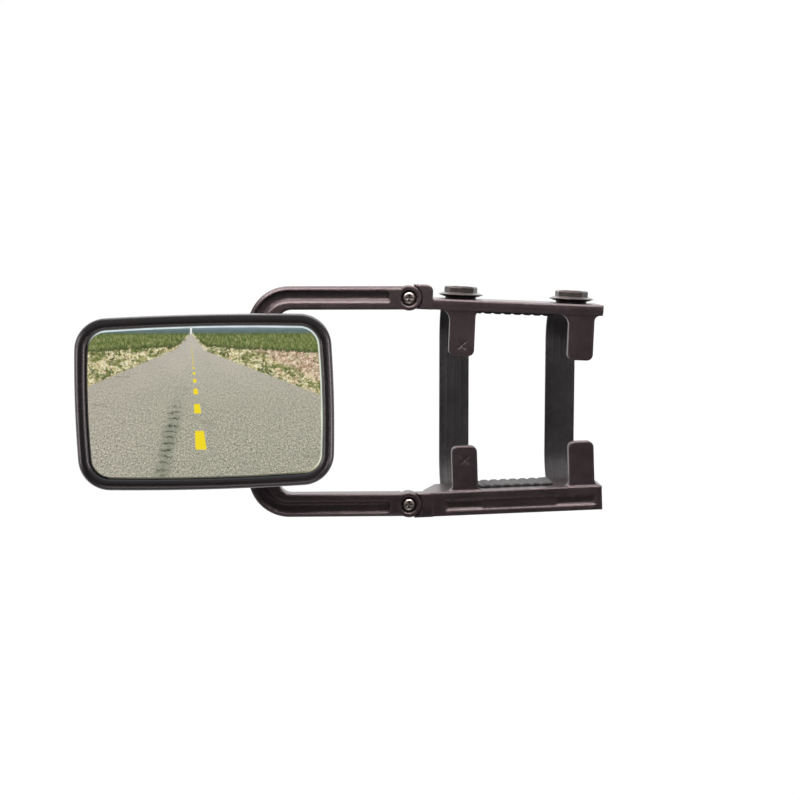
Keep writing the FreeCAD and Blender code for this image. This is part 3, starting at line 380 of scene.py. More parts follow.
def nylon(name, tone, rough):
    """Pale, slightly translucent plastic with brownish stains."""
    t = MaterialTree(name)
    soft, _ = t.edges(0.0003)
    cloud = t.noise(scale=90, detail=4, rough=0.6)
    base = t.tones(cloud, (0.35, 0.65), scaled(tone, 0.86), tone)
    grease = t.fade(t.noise(scale=260, detail=4, rough=0.7), (0.58, 0.72), to=(0.0, 0.5))
    base = t.mix(grease, base, (0.20, 0.17, 0.12))
    roughness = rough - 0.05 + t.noise(scale=700) * 0.15
    normal = t.bump(t.noise(scale=2500), distance=0.00003, strength=0.7, normal=soft)
    return t.surface(t.principled(
        Base_Color=base, Roughness=roughness, Normal=normal,
        Subsurface_Weight=0.06, Subsurface_Scale=0.001))


def foam(name):
    """Dark open-celled foam."""
    t = MaterialTree(name)
    cells = t.voronoi(scale=1600, vector=t.coord.outputs["Object"]).outputs["Distance"]
    base = t.ramp(cells, [(0.0, (0.02, 0.02, 0.02)), (0.6, (0.07, 0.07, 0.07))])
    patches = t.fade(t.noise(scale=80), (0.4, 0.6), to=(0.0, 0.3))
    base = t.mix(patches, base, (0.04, 0.04, 0.045))
    normal = t.bump(cells, distance=0.0002, strength=0.8)
    return t.surface(t.principled(Base_Color=base, Roughness=0.9, Normal=normal))


# ------------------------------------------------------------------ mirror glass, with a painted reflection
VANISHING_X = -10.4     # the road's vanishing point, mm from the head's centre
HORIZON = 55.1          # mm above the head's centre
GLASS_SCALE = 1036      # scene millimetres per metre over the glass


class MirrorTree(MaterialTree):
    """Places a painted reflection of a road scene by the direction of the reflected ray.

    across, up: millimetres over the glass from the head's centre, camera's view
    side, below: the same from the vanishing point, below being downwards
    near: below, kept positive; depth: its inverse, distance along the road
    flat, ground: vectors over the glass and over the road
    """

    def __init__(self, name):
        super().__init__(name)
        ray_x, self.ray_y, ray_z = self.split(self.coord.outputs["Reflection"])
        back = self.math("MAXIMUM", self.ray_y * -1.0, 0.02)
        run = GLASS_FRONT - CAMERA_AT.y
        centre = (HEAD_CENTRE - CAMERA_AT) / run
        scale = run * GLASS_SCALE
        self.across = (ray_x / back - centre.x) * scale
        self.up = (ray_z / back - centre.z) * scale
        self.side = self.across - VANISHING_X
        self.below = HORIZON - self.up
        self.near = self.math("MAXIMUM", self.below, 0.4)
        lane = self.side / self.near
        self.depth = 1.0 / self.near
        self.flat = self.plane(self.across, self.up)
        self.ground = self.plane(lane, self.depth * 60.0)

    def plane(self, x, y):
        node = self.node("CombineXYZ")
        self.put(node.inputs[0], x)
        self.put(node.inputs[1], y)
        return node.outputs[0]

    def grain(self, **noise):
        """Noise over the flat view, its scale per millimetre."""
        return self.noise(vector=self.flat, **noise)

    def jitter(self, width, **noise):
        """Noise about zero."""
        return (self.grain(**noise) - 0.5) * width


def asphalt(t):
    """Pale grey, warmer on the left, with speckle that grows nearer the camera."""
    speck = t.fade(t.grain(scale=0.82, detail=1, rough=0.6), (0.34, 0.66), to=(-1.0, 1.0))
    strength = t.fade(t.below, (8, 95), to=(0.12, 1.0))
    tone = t.ramp(t.fade(t.up, (-60, 55)), [
        (0.0, srgb(166, 164, 147)), (0.5, srgb(176, 173, 156)), (1.0, srgb(200, 194, 182))])
    warm = t.fade(t.across, (-95, -10), to=(0.6, 0.0))
    tone = t.mix(warm, tone, srgb(186, 178, 166))
    patches = t.fade(t.grain(scale=0.05), (0.35, 0.65), to=(0.0, 0.30))
    tone = t.mix(patches, tone, srgb(160, 160, 146))
    brightness = 1.0 + speck * strength * 0.36
    scale = t.node("VectorMath", operation="SCALE")
    t.put(scale.inputs[0], tone)
    t.put(scale.inputs["Scale"], brightness)
    road = scale.outputs[0]
    # dark pits, then pale chips
    for scale, stretch, colour in ((0.62, None, srgb(98, 104, 86)),
                                   (0.58, (1.1, 1.3, 1), srgb(234, 226, 206))):
        bits = t.fade(t.grain(scale=scale, detail=2, rough=0.65, stretch=stretch), (0.55, 0.66))
        road = t.mix(bits * t.fade(t.below, (20, 90), to=(0.12, 0.66)), road, colour)
    return road


def wheel_track(t, road):
    """Dark ripples and a haze left of the centre line."""
    offset = t.side + t.below * 0.214
    offset = offset + t.jitter(9.0, scale=0.16, rough=0.6)
    track = t.fade(abs(offset), (6.0, 2.2))
    bars = t.math("FRACT", t.up / 5.0 + t.grain(scale=0.12, detail=2) * 1.6)
    bars = t.fade(bars, (0.0, 0.16)) * t.fade(bars, (0.42, 0.20))
    broken = t.fade(t.grain(scale=0.35, rough=0.7), (0.34, 0.48))
    ripples = bars * broken * track
    ripples = ripples * (t.fade(t.below, (52, 66)) * t.fade(t.below, (118, 100), to=(0.35, 1.0)))
    haze = t.fade(abs(offset), (9.5, 1.0)) * t.fade(t.below, (45, 75), to=(0.0, 0.52))
    road = t.mix(haze, road, srgb(118, 126, 106))
    return t.mix(ripples * 0.95, road, srgb(58, 68, 56))


# short cracks on the left: across, up, half length
SHORT_CRACKS = ((-84.0, -1.6, 6.0), (-65.0, 20.6, 7.0))


def cracks(t, road):
    for across, up, half in SHORT_CRACKS:
        wobble = t.jitter(2.2, scale=0.35, detail=2)
        thin = t.fade(abs(t.up - up + wobble), (0.55, 0.15))
        long = t.fade(abs(t.across - across), (half, half * 0.6))
        road = t.mix(long * thin * 0.6, road, srgb(112, 110, 96))
    web = t.noise(scale=0.5, rough=0.7, vector=t.ground, stretch=(0.6, 3.0, 1), distort=1.2)
    web = t.fade(abs(web - 0.5), (0.006, 0.0))
    web = web * t.fade(t.grain(scale=0.03, detail=2), (0.52, 0.62))
    return t.mix(web * 0.35, road, srgb(120, 122, 106))


def centre_line(t, road):
    """Yellow dashes that run together into one line far off."""
    middle = t.near * 0.083 - 0.6
    half_width = t.math("MAXIMUM", t.near * 0.058 - 0.95, 0.42)
    ragged = t.jitter(0.5, scale=0.9, detail=2, rough=0.6)
    inside = t.fade(abs(t.side - middle) - half_width + ragged, (0.22, -0.22))
    # dashes are evenly pitched in depth
    first, pitch = 0.0107, 0.0049
    phase = t.math("FRACT", (t.depth - first) / pitch + 4.0)
    painted = t.fade(phase, (0.0, 0.03)) * t.fade(phase, (0.46, 0.42))
    reach = t.fade(t.below, (21, 26)) * t.fade(t.below, (97, 95))
    dash = inside * painted * reach
    line = inside * t.fade(t.below, (27, 22)) * t.fade(t.below, (9, 15))
    patches = t.fade(t.grain(scale=0.5, detail=2), (0.4, 0.6))
    yellow = t.mix(patches, srgb(252, 222, 8), srgb(244, 226, 40))
    road = t.mix(dash * 0.97, road, yellow)
    return t.mix(line * 0.75, road, srgb(216, 204, 96))


def verge(t, road):
    """Dry stones, cream at the left and pink at the right, with tufts between.
    Returns the ground and the road's half widths left and right."""
    stones = t.voronoi(scale=0.33, vector=t.flat)
    pick = t.node("SeparateColor")
    t.put(pick.inputs[0], stones.outputs["Color"])
    cream = t.ramp(pick.outputs[0], [
        (0.0, srgb(92, 100, 52)), (0.22, srgb(150, 146, 92)), (0.42, srgb(206, 196, 140)),
        (0.65, srgb(236, 226, 184)), (0.85, srgb(214, 188, 150)), (1.0, srgb(120, 132, 70))])
    pink = t.ramp(pick.outputs[0], [
        (0.0, srgb(168, 138, 108)), (0.3, srgb(206, 174, 146)), (0.6, srgb(226, 196, 170)),
        (0.85, srgb(238, 214, 190)), (1.0, srgb(172, 160, 112))])
    beyond = abs(t.side) - t.below * 2.15
    pinkish = t.fade(t.side, (10, 40)) * t.fade(beyond, (14, 26))
    colour = t.mix(pinkish, cream, pink)
    crumbs = t.grain(scale=0.50, rough=0.72)
    colour = t.mix(t.fade(crumbs, (0.49, 0.34), to=(0.0, 0.88)), colour, srgb(62, 66, 34))
    colour = t.mix(t.fade(crumbs, (0.54, 0.65), to=(0.0, 0.88)), colour, srgb(252, 248, 228))
    tuft = t.fade(t.grain(scale=0.13, detail=4, rough=0.7, stretch=(0.6, 1.5, 1)), (0.50, 0.58))
    tuft = tuft * t.mix_value(pinkish, 1.0, 0.35)
    green = t.ramp(t.grain(scale=0.6, rough=0.7),
                   [(0.36, srgb(50, 70, 28)), (0.64, srgb(140, 152, 80))])
    colour = t.mix(tuft * 0.82, colour, green)
    # the road widens in two straight stretches on each side
    jag = t.jitter(5.0, scale=0.5, detail=4, rough=0.7)
    left = t.math("MAXIMUM", t.near * 0.93, t.near * 2.35 - 17.5)
    right = t.math("MAXIMUM", t.near * 0.85, t.near * 2.57 - 25.0)
    past_left = t.side + left + jag
    past_right = t.side - right + jag
    is_verge = t.math("MAXIMUM", t.fade(past_left, (1.6, -1.6)), t.fade(past_right, (-1.6, 1.6)))
    return t.mix(is_verge, road, colour), left, right


def scrub(t, ground, left, right):
    """Olive upright streaks under the horizon, with a ragged lower edge."""
    blades = (t.grain(scale=0.62, rough=0.7, stretch=(1.6, 0.6, 1)) * 0.6
              + t.grain(scale=0.24, rough=0.7, stretch=(1.4, 0.9, 1)) * 0.4)
    colour = t.ramp(t.fade(blades, (0.36, 0.64)), [
        (0.0, srgb(66, 82, 40)), (0.35, srgb(98, 112, 60)),
        (0.65, srgb(128, 136, 84)), (1.0, srgb(172, 170, 118))])
    ragged = t.jitter(11.0, scale=0.22, detail=4, rough=0.75)
    # the band deepens quickly away from the road, then slowly
    reach = abs(t.side)
    bend = 13.0
    deepening = (t.math("MINIMUM", reach, bend) * 0.65
                 + t.math("MAXIMUM", reach - bend, 0.0) * 0.06)
    lower = 2.4 + deepening + ragged * t.fade(deepening, (1.0, 10.0), to=(0.12, 0.75))
    gap = t.below - lower
    # painted shadow: darker towards the scrub's lower edge
    colour = t.mix(t.fade(gap, (-3.0, -0.3), to=(0.0, 0.72)), colour, srgb(36, 50, 20))
    colour = t.mix(t.fade(t.below, (3.0, 0.4), to=(0.0, 0.45)), colour, srgb(74, 96, 58))
    is_scrub = t.fade(gap, (0.6, -0.6))
    clear = abs(t.side) - t.math("MAXIMUM", left, right + 0.6)
    is_scrub = is_scrub * t.fade(clear, (0.2, 1.6))
    return t.mix(is_scrub, ground, colour)


def hills_and_sky(t, ground):
    """Far hills, sky and a painted glint: a bright spot at the vanishing point."""
    hills = t.mix(t.grain(scale=0.3, stretch=(0.4, 2, 1)),
                  srgb(76, 98, 96), srgb(116, 132, 132))
    hills = t.mix(t.fade(t.below, (-1.8, -4.4), to=(0.0, 0.6)), hills, srgb(140, 156, 164))
    hill_top = -4.4 + t.jitter(2.0, scale=0.03, detail=2)
    sky = t.tones(t.below, (-90, -3), srgb(196, 214, 232), srgb(226, 234, 240))
    above = t.mix(t.fade(t.below - hill_top, (-0.4, 0.4)), sky, hills)
    view = t.mix(t.fade(t.below, (-0.7, 0.5)), above, ground)
    # painted glint at the vanishing point
    painted_glint = t.fade(abs(t.side), (1.1, 0.3)) * (
        t.fade(t.below, (1.4, -0.4)) * t.fade(t.below, (-8, -6)))
    return t.mix(painted_glint, view, (0.95, 0.96, 0.98))


def mirror_surface(name):
    """Silvered glass that shows a painted reflection of a road scene, glowing as emission,
    which shifts with the angle of the head and of the view."""
    t = MirrorTree(name)
    road = centre_line(t, cracks(t, wheel_track(t, asphalt(t))))
    ground, left, right = verge(t, road)
    view = hills_and_sky(t, scrub(t, ground, left, right))
    # plain grey where the ray leaves nearly along the glass
    view = t.mix(t.fade(t.ray_y, (-0.25, -0.05)) * 1.0, view, (0.82, 0.82, 0.83))
    # the silvering, with faint dust and wipe marks
    wipe = t.noise(scale=26, detail=4, rough=0.7, stretch=(1, 1, 3.5), distort=0.6)
    dust = t.fade(t.noise(scale=420, detail=4, rough=0.75), (0.60, 0.82))
    roughness = 0.012 + t.fade(wipe, (0.5, 0.8)) * 0.035
    silver = t.principled(Base_Color=(0.90, 0.92, 0.92), Metallic=1.0, Roughness=roughness)
    # painted reflection: the road scene glows as emission over most of the silvering
    painted_reflection_share = 0.94 + dust * -0.05
    return t.surface(t.mix_shader(painted_reflection_share, silver, t.emission(view)))


def glass_edge(name):
    """Ground bevel of the glass with a painted highlight: it glows bright where it faces up
    or towards +X, and stays dark along the bottom."""
    t = MaterialTree(name)
    grind = t.noise(scale=2600, detail=2, rough=0.6)
    facing_x, _, facing_z = t.split(t.node("NewGeometry").outputs["Normal"])
    # painted highlight: an emission whose strength follows which way the bevel faces, none along
    # the bottom
    painted_highlight = (0.62 + (facing_x * 1.35 + facing_z * 0.85)).clamped()
    painted_highlight = painted_highlight * t.fade(t.noise(scale=45), (0.30, 0.62), to=(0.72, 1.0))
    sky = t.mix(t.fade(facing_z, (-0.5, 0.5)), srgb(232, 232, 196), srgb(222, 234, 238))
    base = t.tones(t.noise(scale=50, detail=2), (0.35, 0.65),
                   (0.30, 0.33, 0.29), (0.42, 0.44, 0.38))
    normal = t.bump(grind, distance=0.00002, strength=0.5)
    metal = t.principled(Base_Color=base, Metallic=0.75, Roughness=0.16, Normal=normal)
    return t.surface(t.mix_shader(painted_highlight, metal, t.emission(sky)))


# slot: (builder, its settings)
LOOKS = {
    "frame_plastic": (black_plastic, dict(
        dark=(0.0085, 0.0060, 0.0066), light=(0.0215, 0.0155, 0.0172),
        rough=0.36, gloss=0.70, round_off=0.0026)),
    "head_plastic": (black_plastic, dict(
        dark=(0.0055, 0.0045, 0.0047), light=(0.0145, 0.0120, 0.0126),
        rough=0.31, gloss=0.80, tint=(1.0, 0.90, 0.92), round_off=0.0010)),
    "knob_plastic": (black_plastic, dict(
        dark=(0.012, 0.0100, 0.0095), light=(0.024, 0.0200, 0.0190),
        rough=0.33, gloss=0.5, tint=(1.0, 0.90, 0.88))),
    "drive_nylon": (nylon, dict(tone=(0.30, 0.285, 0.255), rough=0.45)),
    "mirror": (mirror_surface, {}),
    "foam": (foam, {}),
    "black_screws": (steel, dict(
        tone=(0.42, 0.37, 0.34), rough=0.30, stretch=(3, 3, 3), cavity=True)),
    "zinc_steel": (steel, dict(
        tone=(0.62, 0.62, 0.60), rough=0.30, stretch=(2, 2, 9), tint=(0.60, 0.56, 0.40))),
    "spring_steel": (steel, dict(tone=(0.50, 0.49, 0.47), rough=0.25, stretch=(1, 1, 12))),
    "rivets": (steel, dict(tone=(0.66, 0.52, 0.28), rough=0.28)),
    "friction_washer": (nylon, dict(tone=(0.46, 0.45, 0.41), rough=0.5)),
    "pad_rubber": (rubber, dict(dark=(0.010, 0.0095, 0.0095), light=(0.021, 0.020, 0.020))),
    "strap_rubber": (rubber, dict(
        dark=(0.013, 0.0110, 0.0120), light=(0.027, 0.0230, 0.0250), rough=0.55)),
}
materials = {slot: build(slot, **settings) for slot, (build, settings) in LOOKS.items()}
edge_material = glass_edge("glass_edge")

for name, ob in nodes.items():
    ob.data.materials.clear()
    ob.data.materials.append(materials[slot_of[name]])
    for polygon in ob.data.polygons:
        polygon.use_smooth = True
        polygon.material_index = 0


# ------------------------------------------------------------------ meshes
def make(name, verts, faces, slot, extra=(), face_materials=(), smooth=True):
    """Mesh object in a slot's material; extra materials follow it."""
    mesh = bpy.data.meshes.new(name)
    mesh.from_pydata([tuple(vert) for vert in verts], [], faces)
    mesh.update()
    ob = bpy.data.objects.new(name, mesh)
    scene.collection.objects.link(ob)
    for material in (materials[slot], *extra):
        mesh.materials.append(material)
    for polygon, index in zip(mesh.polygons, face_materials):
        polygon.material_index = index
    for polygon in mesh.polygons:
        polygon.use_smooth = smooth
    bm = bmesh.new()
    bm.from_mesh(mesh)
    bmesh.ops.recalc_face_normals(bm, faces=bm.faces)
    bm.to_mesh(mesh)
    bm.free()
    return ob


def ring_faces(rings, closed=False):
    """Quads between neighbouring rings; closed joins the last to the first."""
    count, size = len(rings), len(rings[0])
    faces = []
    for j in range(count if closed else count - 1):
        this, following = j * size, (j + 1) % count * size
        for i in range(size):
            k = (i + 1) % size
            faces.append((this + i, this + k, following + k, following + i))
    return faces


def joined(rings):
    return [vert for ring in rings for vert in ring]


# ------------------------------------------------------------------ head
HEAD_HALF_X = 99.1
HEAD_HALF_Z = 67.4
SIDE_BOW = 2.4              # how far each side bulges past its corners
CORNER_RADIUS = 24.5
HEAD_ROLL = math.radians(-1.2)
DRAWN_GLASS_FRONT = -65.5   # glass front in the head's own Y
HEAD_SHIFT = GLASS_FRONT / MM - DRAWN_GLASS_FRONT


def pillow(half_x, half_y, bow, corner, side_steps=14, corner_steps=12):
    """Rounded rectangle with bowed sides, as a list of (x, y)."""
    # side arcs are centred on the axes, at (side_x, 0) and (0, side_y)
    radius_x = (half_y * half_y + bow * bow) / (2 * bow)
    radius_y = (half_x * half_x + bow * bow) / (2 * bow)
    side_x, side_y = half_x - radius_x, half_y - radius_y
    # the corner's centre is where circles round both side centres cross
    reach_x, reach_y = radius_x - corner, radius_y - corner
    apart = math.hypot(side_x, side_y)
    along = (reach_x * reach_x - reach_y * reach_y + apart * apart) / (2 * apart)
    rise = math.sqrt(max(reach_x * reach_x - along * along, 0.0))
    unit_x, unit_y = -side_x / apart, side_y / apart
    first = (side_x + along * unit_x - rise * unit_y, along * unit_y + rise * unit_x)
    second = (side_x + along * unit_x + rise * unit_y, along * unit_y - rise * unit_x)
    corner_x, corner_y = first if first[0] > 0 and first[1] > 0 else second
    turn_x = math.atan2(corner_y, corner_x - side_x)
    turn_y = math.atan2(corner_y - side_y, corner_x)
    pi = math.pi
    # centre x, centre y, radius, start angle, end angle, steps
    arcs = [
        (side_x, 0, radius_x, -turn_x, turn_x, side_steps),
        (corner_x, corner_y, corner, turn_x, turn_y, corner_steps),
        (0, side_y, radius_y, turn_y, pi - turn_y, side_steps),
        (-corner_x, corner_y, corner, pi - turn_y, pi - turn_x, corner_steps),
        (-side_x, 0, radius_x, pi - turn_x, pi + turn_x, side_steps),
        (-corner_x, -corner_y, corner, pi + turn_x, pi + turn_y, corner_steps),
        (0, -side_y, radius_y, pi + turn_y, 2 * pi - turn_y, side_steps),
        (corner_x, -corner_y, corner, 2 * pi - turn_y, 2 * pi - turn_x, corner_steps),
    ]
    outline = []
    for x, y, radius, start, end, steps in arcs:
        for i in range(steps):
            angle = start + (end - start) * i / steps
            outline.append((x + radius * math.cos(angle), y + radius * math.sin(angle)))
    return outline


def turned(origin, angle, x, y, z):
    """A point (mm) turned about Y, then moved to the origin's X and Z (metres)."""
    return Vector((origin.x + (x * math.cos(angle) + z * math.sin(angle)) * MM,
                   y * MM,
                   origin.z + (-x * math.sin(angle) + z * math.cos(angle)) * MM))


def head_ring(inset, y):
    """The head's outline drawn in by an inset, at a Y of the head's own."""
    outline = pillow(HEAD_HALF_X - inset, HEAD_HALF_Z - inset, SIDE_BOW, CORNER_RADIUS - inset)
    return [turned(HEAD_CENTRE, HEAD_ROLL, x, y + HEAD_SHIFT, z) for x, z in outline]


def bezel_profile():
    """(inset, y) round the section: outer roll, crest, inner roll, inner wall, back."""
    outer_width, outer_depth, shoulder_y = 5.2, 5.6, -64.4
    inner_width, inner_depth = 3.3, 3.2
    crest_y = shoulder_y - outer_depth
    profile = [(0.0, -58.0), (0.0, -60.0), (0.0, -63.5)]
    for i in range(11):
        angle = math.radians(90 * i / 10)
        profile.append((outer_width * (1 - math.cos(angle)),
                        shoulder_y - outer_depth * math.sin(angle)))
    for i in range(1, 8):
        angle = math.radians(90 * i / 7)
        profile.append((outer_width + inner_width * math.sin(angle),
                        crest_y + inner_depth * (1 - math.cos(angle))))
    return profile + [(8.6, -65.6), (8.7, -61.4), (9.1, -61.0), (13.5, -61.0),
                      (13.7, -60.8), (13.7, -58.2), (13.5, -58.0), (0.5, -58.0)]


def mirror_pane():
    """Flat glass with a bevel round its front."""
    inset, bevel = 9.0, 1.15
    rings = [head_ring(inset, -62.5), head_ring(inset, -64.7),
             head_ring(inset + bevel, DRAWN_GLASS_FRONT)]
    size = len(rings[0])
    faces = ring_faces(rings)
    face_materials = [1] * len(faces) + [0, 1]
    faces.append(tuple(range(2 * size, 3 * size)))
    faces.append(tuple(reversed(range(size))))
    return make("mirror_pane", joined(rings), faces, "mirror", [edge_material],
                face_materials, smooth=False)


bezel_rings = [head_ring(inset, y) for inset, y in bezel_profile()]
bezel = make("bezel_ring", joined(bezel_rings), ring_faces(bezel_rings, closed=True),
             "head_plastic")
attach(bezel, "head")
glass = mirror_pane()
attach(glass, "head")
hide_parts("mirror_glass")
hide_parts("head_bezel")

# ------------------------------------------------------------------ straps
# a rail's frame: its hinge and its lean about Y
UPPER_RAIL = (Vector(joints["upper_rail_swing"]["pos_m"]), math.radians(2.3))
LOWER_RAIL = (Vector(joints["lower_rail_swing"]["pos_m"]), math.radians(-2.0))

STRAP_WIDTH = 25.0
STRAP_THICK = 2.4
STRAP_START_Y = 32.0
STRAP_BACK_Y = 74.0
BEND_RADIUS = 30.0
LOOP_RADIUS = 2.3 + STRAP_THICK / 2     # the strap's middle round the lower pin
START_STEPS, BEND_STEPS, BACK_STEPS, LOOP_STEPS = 12, 24, 48, 14
# stations where the upper piece meets the back, and the back the lower piece
BACK_FIRST = START_STEPS + BEND_STEPS + 4
BACK_LAST = BACK_FIRST + 30


def strap_section():
    """(across, out) round the strap: thick borders, thinner middle, three ribs."""
    half, half_thick = STRAP_WIDTH / 2, STRAP_THICK / 2
    side_half, corner = 0.7, 0.35
    border, step = 1.7, 0.7         # border width, and the slope down from it
    web, rib_height, rib_half = 0.82, 0.28, 0.9
    steps = 44
    top = []
    for i in range(steps + 1):
        across = -half + corner + (STRAP_WIDTH - 2 * corner) * i / steps
        ribs = sum(rib_height * math.exp(-((across - rib) / rib_half) ** 2)
                   for rib in (-6.0, 0.0, 6.0))
        from_side = abs(abs(across) - half)
        slope = min(max(from_side - border, 0.0) / step, 1.0)
        top.append((across, half_thick - (half_thick - (web + ribs)) * slope))
    return ([(-half, side_half)] + top + [(half, side_half), (half, -side_half)]
            + [(across, -out) for across, out in reversed(top)] + [(-half, -side_half)])


def strap_path(top_z, pin):
    """(y, z, heading) from the upper rail, round the back, to the loop on the pin."""
    low_z = pin.z + LOOP_RADIUS
    bend_y = STRAP_BACK_Y - BEND_RADIUS
    upper_z, lower_z = top_z - BEND_RADIUS, low_z + BEND_RADIUS
    path = [(STRAP_START_Y + (bend_y - STRAP_START_Y) * i / START_STEPS, top_z, 0.0)
            for i in range(START_STEPS + 1)]
    for i in range(1, BEND_STEPS + 1):
        angle = math.radians(90 * i / BEND_STEPS)
        path.append((bend_y + BEND_RADIUS * math.sin(angle),
                     upper_z + BEND_RADIUS * math.cos(angle), angle))
    for i in range(1, BACK_STEPS):
        path.append((STRAP_BACK_Y, upper_z + (lower_z - upper_z) * i / BACK_STEPS, math.pi / 2))
    for i in range(BEND_STEPS + 1):
        angle = math.radians(90 + 90 * i / BEND_STEPS)
        path.append((bend_y + BEND_RADIUS * math.sin(angle),
                     lower_z + BEND_RADIUS * math.cos(angle), angle))
    for i in range(1, 24):
        path.append((bend_y + (pin.y - bend_y) * i / 24, low_z, math.pi))
    for i in range(LOOP_STEPS + 1):
        angle = math.radians(180 + 180 * i / LOOP_STEPS)
        path.append((pin.y + LOOP_RADIUS * math.sin(angle),
                     pin.z - LOOP_RADIUS * math.cos(angle), angle))
    for tail in (2.0, 4.0):
        path.append((pin.y + tail, pin.z - LOOP_RADIUS, 2 * math.pi))
    return path


def strap_rings(path, top, low_x, low_z):
    """The section at each station, easing from the upper rail's X and lean
    to the lower rail's."""
    section = strap_section()
    upper_lean, lower_lean = UPPER_RAIL[1], LOWER_RAIL[1]
    rings = []
    for y, z, heading in path:
        ease = min(max((top.z - z) / (top.z - low_z), 0.0), 1.0)
        ease = ease * ease * (3 - 2 * ease)
        lean = upper_lean + (lower_lean - upper_lean) * ease
        wide = Vector((math.cos(lean), 0, -math.sin(lean)))
        run = Vector((0, math.cos(heading), -math.sin(heading)))
        run = (run - wide * run.dot(wide)).normalized()
        thick = wide.cross(run).normalized()
        centre = Vector((top.x + (low_x - top.x) * ease, y, z))
        rings.append([(centre + wide * across + thick * out) * MM for across, out in section])
    return rings


def strap_piece(name, rings, cap_start=False, cap_end=False):
    size = len(rings[0])
    faces = ring_faces(rings)
    if cap_start:
        faces.append(tuple(range(size)))
    if cap_end:
        faces.append(tuple((len(rings) - 1) * size + i for i in reversed(range(size))))
    return make(name, joined(rings), faces, "strap_rubber")


def strap(tag, top_x, pin_x):
    """One strap in three pieces that meet on the straight back."""
    top = turned(*UPPER_RAIL, top_x, 0, -5.42) / MM
    pin = turned(*LOWER_RAIL, pin_x, -4.0, -4.2) / MM
    low_z = pin.z + LOOP_RADIUS
    path = strap_path(top.z, pin)
    rings = strap_rings(path, top, pin.x, low_z)
    upper = strap_piece("strap_%s_upper" % tag, rings[:BACK_FIRST + 1], cap_start=True)
    back = strap_piece("strap_%s_back" % tag, rings[BACK_FIRST:BACK_LAST + 1])
    lower = strap_piece("strap_%s_lower" % tag, rings[BACK_LAST:], cap_end=True)
    seam_top, seam_low = path[BACK_FIRST][1] * MM, path[BACK_LAST][1] * MM
    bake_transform(upper)
    seam_top - 0.004
    seam_low + 0.002
    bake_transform(back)
    seam_low - 0.002
    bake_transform(lower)
    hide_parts("strap_" + tag)


strap("a", top_x=43.6, pin_x=43.2)
strap("b", top_x=134.1, pin_x=133.2)

# ------------------------------------------------------------------ rubber pads and liners
ALONG_STEPS, ACROSS_STEPS = 22, 96
RIM_RADIUS = 1.1
GROOVE_DEPTH = 0.8


def block_height(block, along, across):
    """Height over the base: a rounded rim, and grooves that run along the block."""
    (start, end), (low, high) = block["along"], block["across"]
    inside = min(along - start, end - along, across - low, high - across)
    drop = RIM_RADIUS - math.sqrt(
        max(RIM_RADIUS * RIM_RADIUS - max(0.0, RIM_RADIUS - inside) ** 2, 0.0))
    dip = max(GROOVE_DEPTH * math.exp(-((across - groove) / block["groove_half"]) ** 4)
              for groove in block["grooves"])
    rise = block["top"] - block["base"]
    return (abs(rise) - drop - dip) * (1 if rise > 0 else -1)


def add_block(verts, faces, rail, block):
    """Adds a height field and the walls and flat base beneath it."""
    (start, end), (low, high) = block["along"], block["across"]

    def place(along, across, height):
        return turned(*rail, *block["to_rail"](along, across, block["base"] + height))

    # stations along are denser towards both ends
    alongs = [start + (end - start) * (0.5 - 0.5 * math.cos(math.pi * i / ALONG_STEPS))
              for i in range(ALONG_STEPS + 1)]
    acrosses = [low + (high - low) * j / ACROSS_STEPS for j in range(ACROSS_STEPS + 1)]
    first = len(verts)
    row = ALONG_STEPS + 1
    for across in acrosses:
        for along in alongs:
            verts.append(place(along, across, block_height(block, along, across)))
    for j in range(ACROSS_STEPS):
        for i in range(ALONG_STEPS):
            k = first + j * row + i
            faces.append((k, k + 1, k + 1 + row, k + row))
    border = ([(i, 0) for i in range(row)]
              + [(ALONG_STEPS, j) for j in range(1, ACROSS_STEPS + 1)]
              + [(i, ACROSS_STEPS) for i in range(ALONG_STEPS - 1, -1, -1)]
              + [(0, j) for j in range(ACROSS_STEPS - 1, 0, -1)])
    rim = [first + j * row + i for i, j in border]
    base = len(verts)
    verts += [place(alongs[i], acrosses[j], 0.0) for i, j in border]
    count = len(rim)
    for i in range(count):
        k = (i + 1) % count
        faces.append((rim[i], rim[k], base + k, base + i))
    faces.append(tuple(range(base, base + count)))


def cushion(name, node, body, rail, blocks):
    verts, faces = [], []
    for block in blocks:
        add_block(verts, faces, rail, block)
    ob = make(name, verts, faces, "pad_rubber")
    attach(ob, body)
    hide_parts(node)


def pad_blocks(middles, low, high):
    """Pads that face +Y, with five grooves along X."""
    half = 7.8
    return [{"along": (middle - half, middle + half), "across": (low, high),
             "base": -5.0, "top": 0.0,
             "to_rail": lambda along, across, height: (along, height, across),
             "grooves": [low + 4.8 + 5 * i for i in range(5)], "groove_half": 0.62}
            for middle in middles]


def liner_blocks(base, top):
    """A liner over the rail's face, with seven grooves along Y."""
    return [{"along": (2.0, 34.0), "across": (57.0, 119.0), "base": base, "top": top,
             "to_rail": lambda along, across, height: (across, along, height),
             "grooves": [61.5 + 8 * i for i in range(7)], "groove_half": 1.5}]


cushion("finger_cushions_upper", "upper_finger_pads", "upper_clamp", UPPER_RAIL,
        pad_blocks((44.0, 140.0), -42.8, -16.2))
cushion("finger_cushions_lower", "lower_finger_pads", "lower_clamp", LOWER_RAIL,
        pad_blocks((46.4, 141.0), 16.2, 42.8))
cushion("rail_liner_upper", "upper_liner", "upper_clamp", UPPER_RAIL,
        liner_blocks(base=-8.4, top=-11.0))
cushion("rail_liner_lower", "lower_liner", "lower_clamp", LOWER_RAIL,
        liner_blocks(base=8.6, top=11.2))

# CAD pieces still on show get weighted normals
for ob in nodes.values():
    if not ob.hide_render:
        ob.modifiers.new("normals", "WEIGHTED_NORMAL").keep_sharp = True


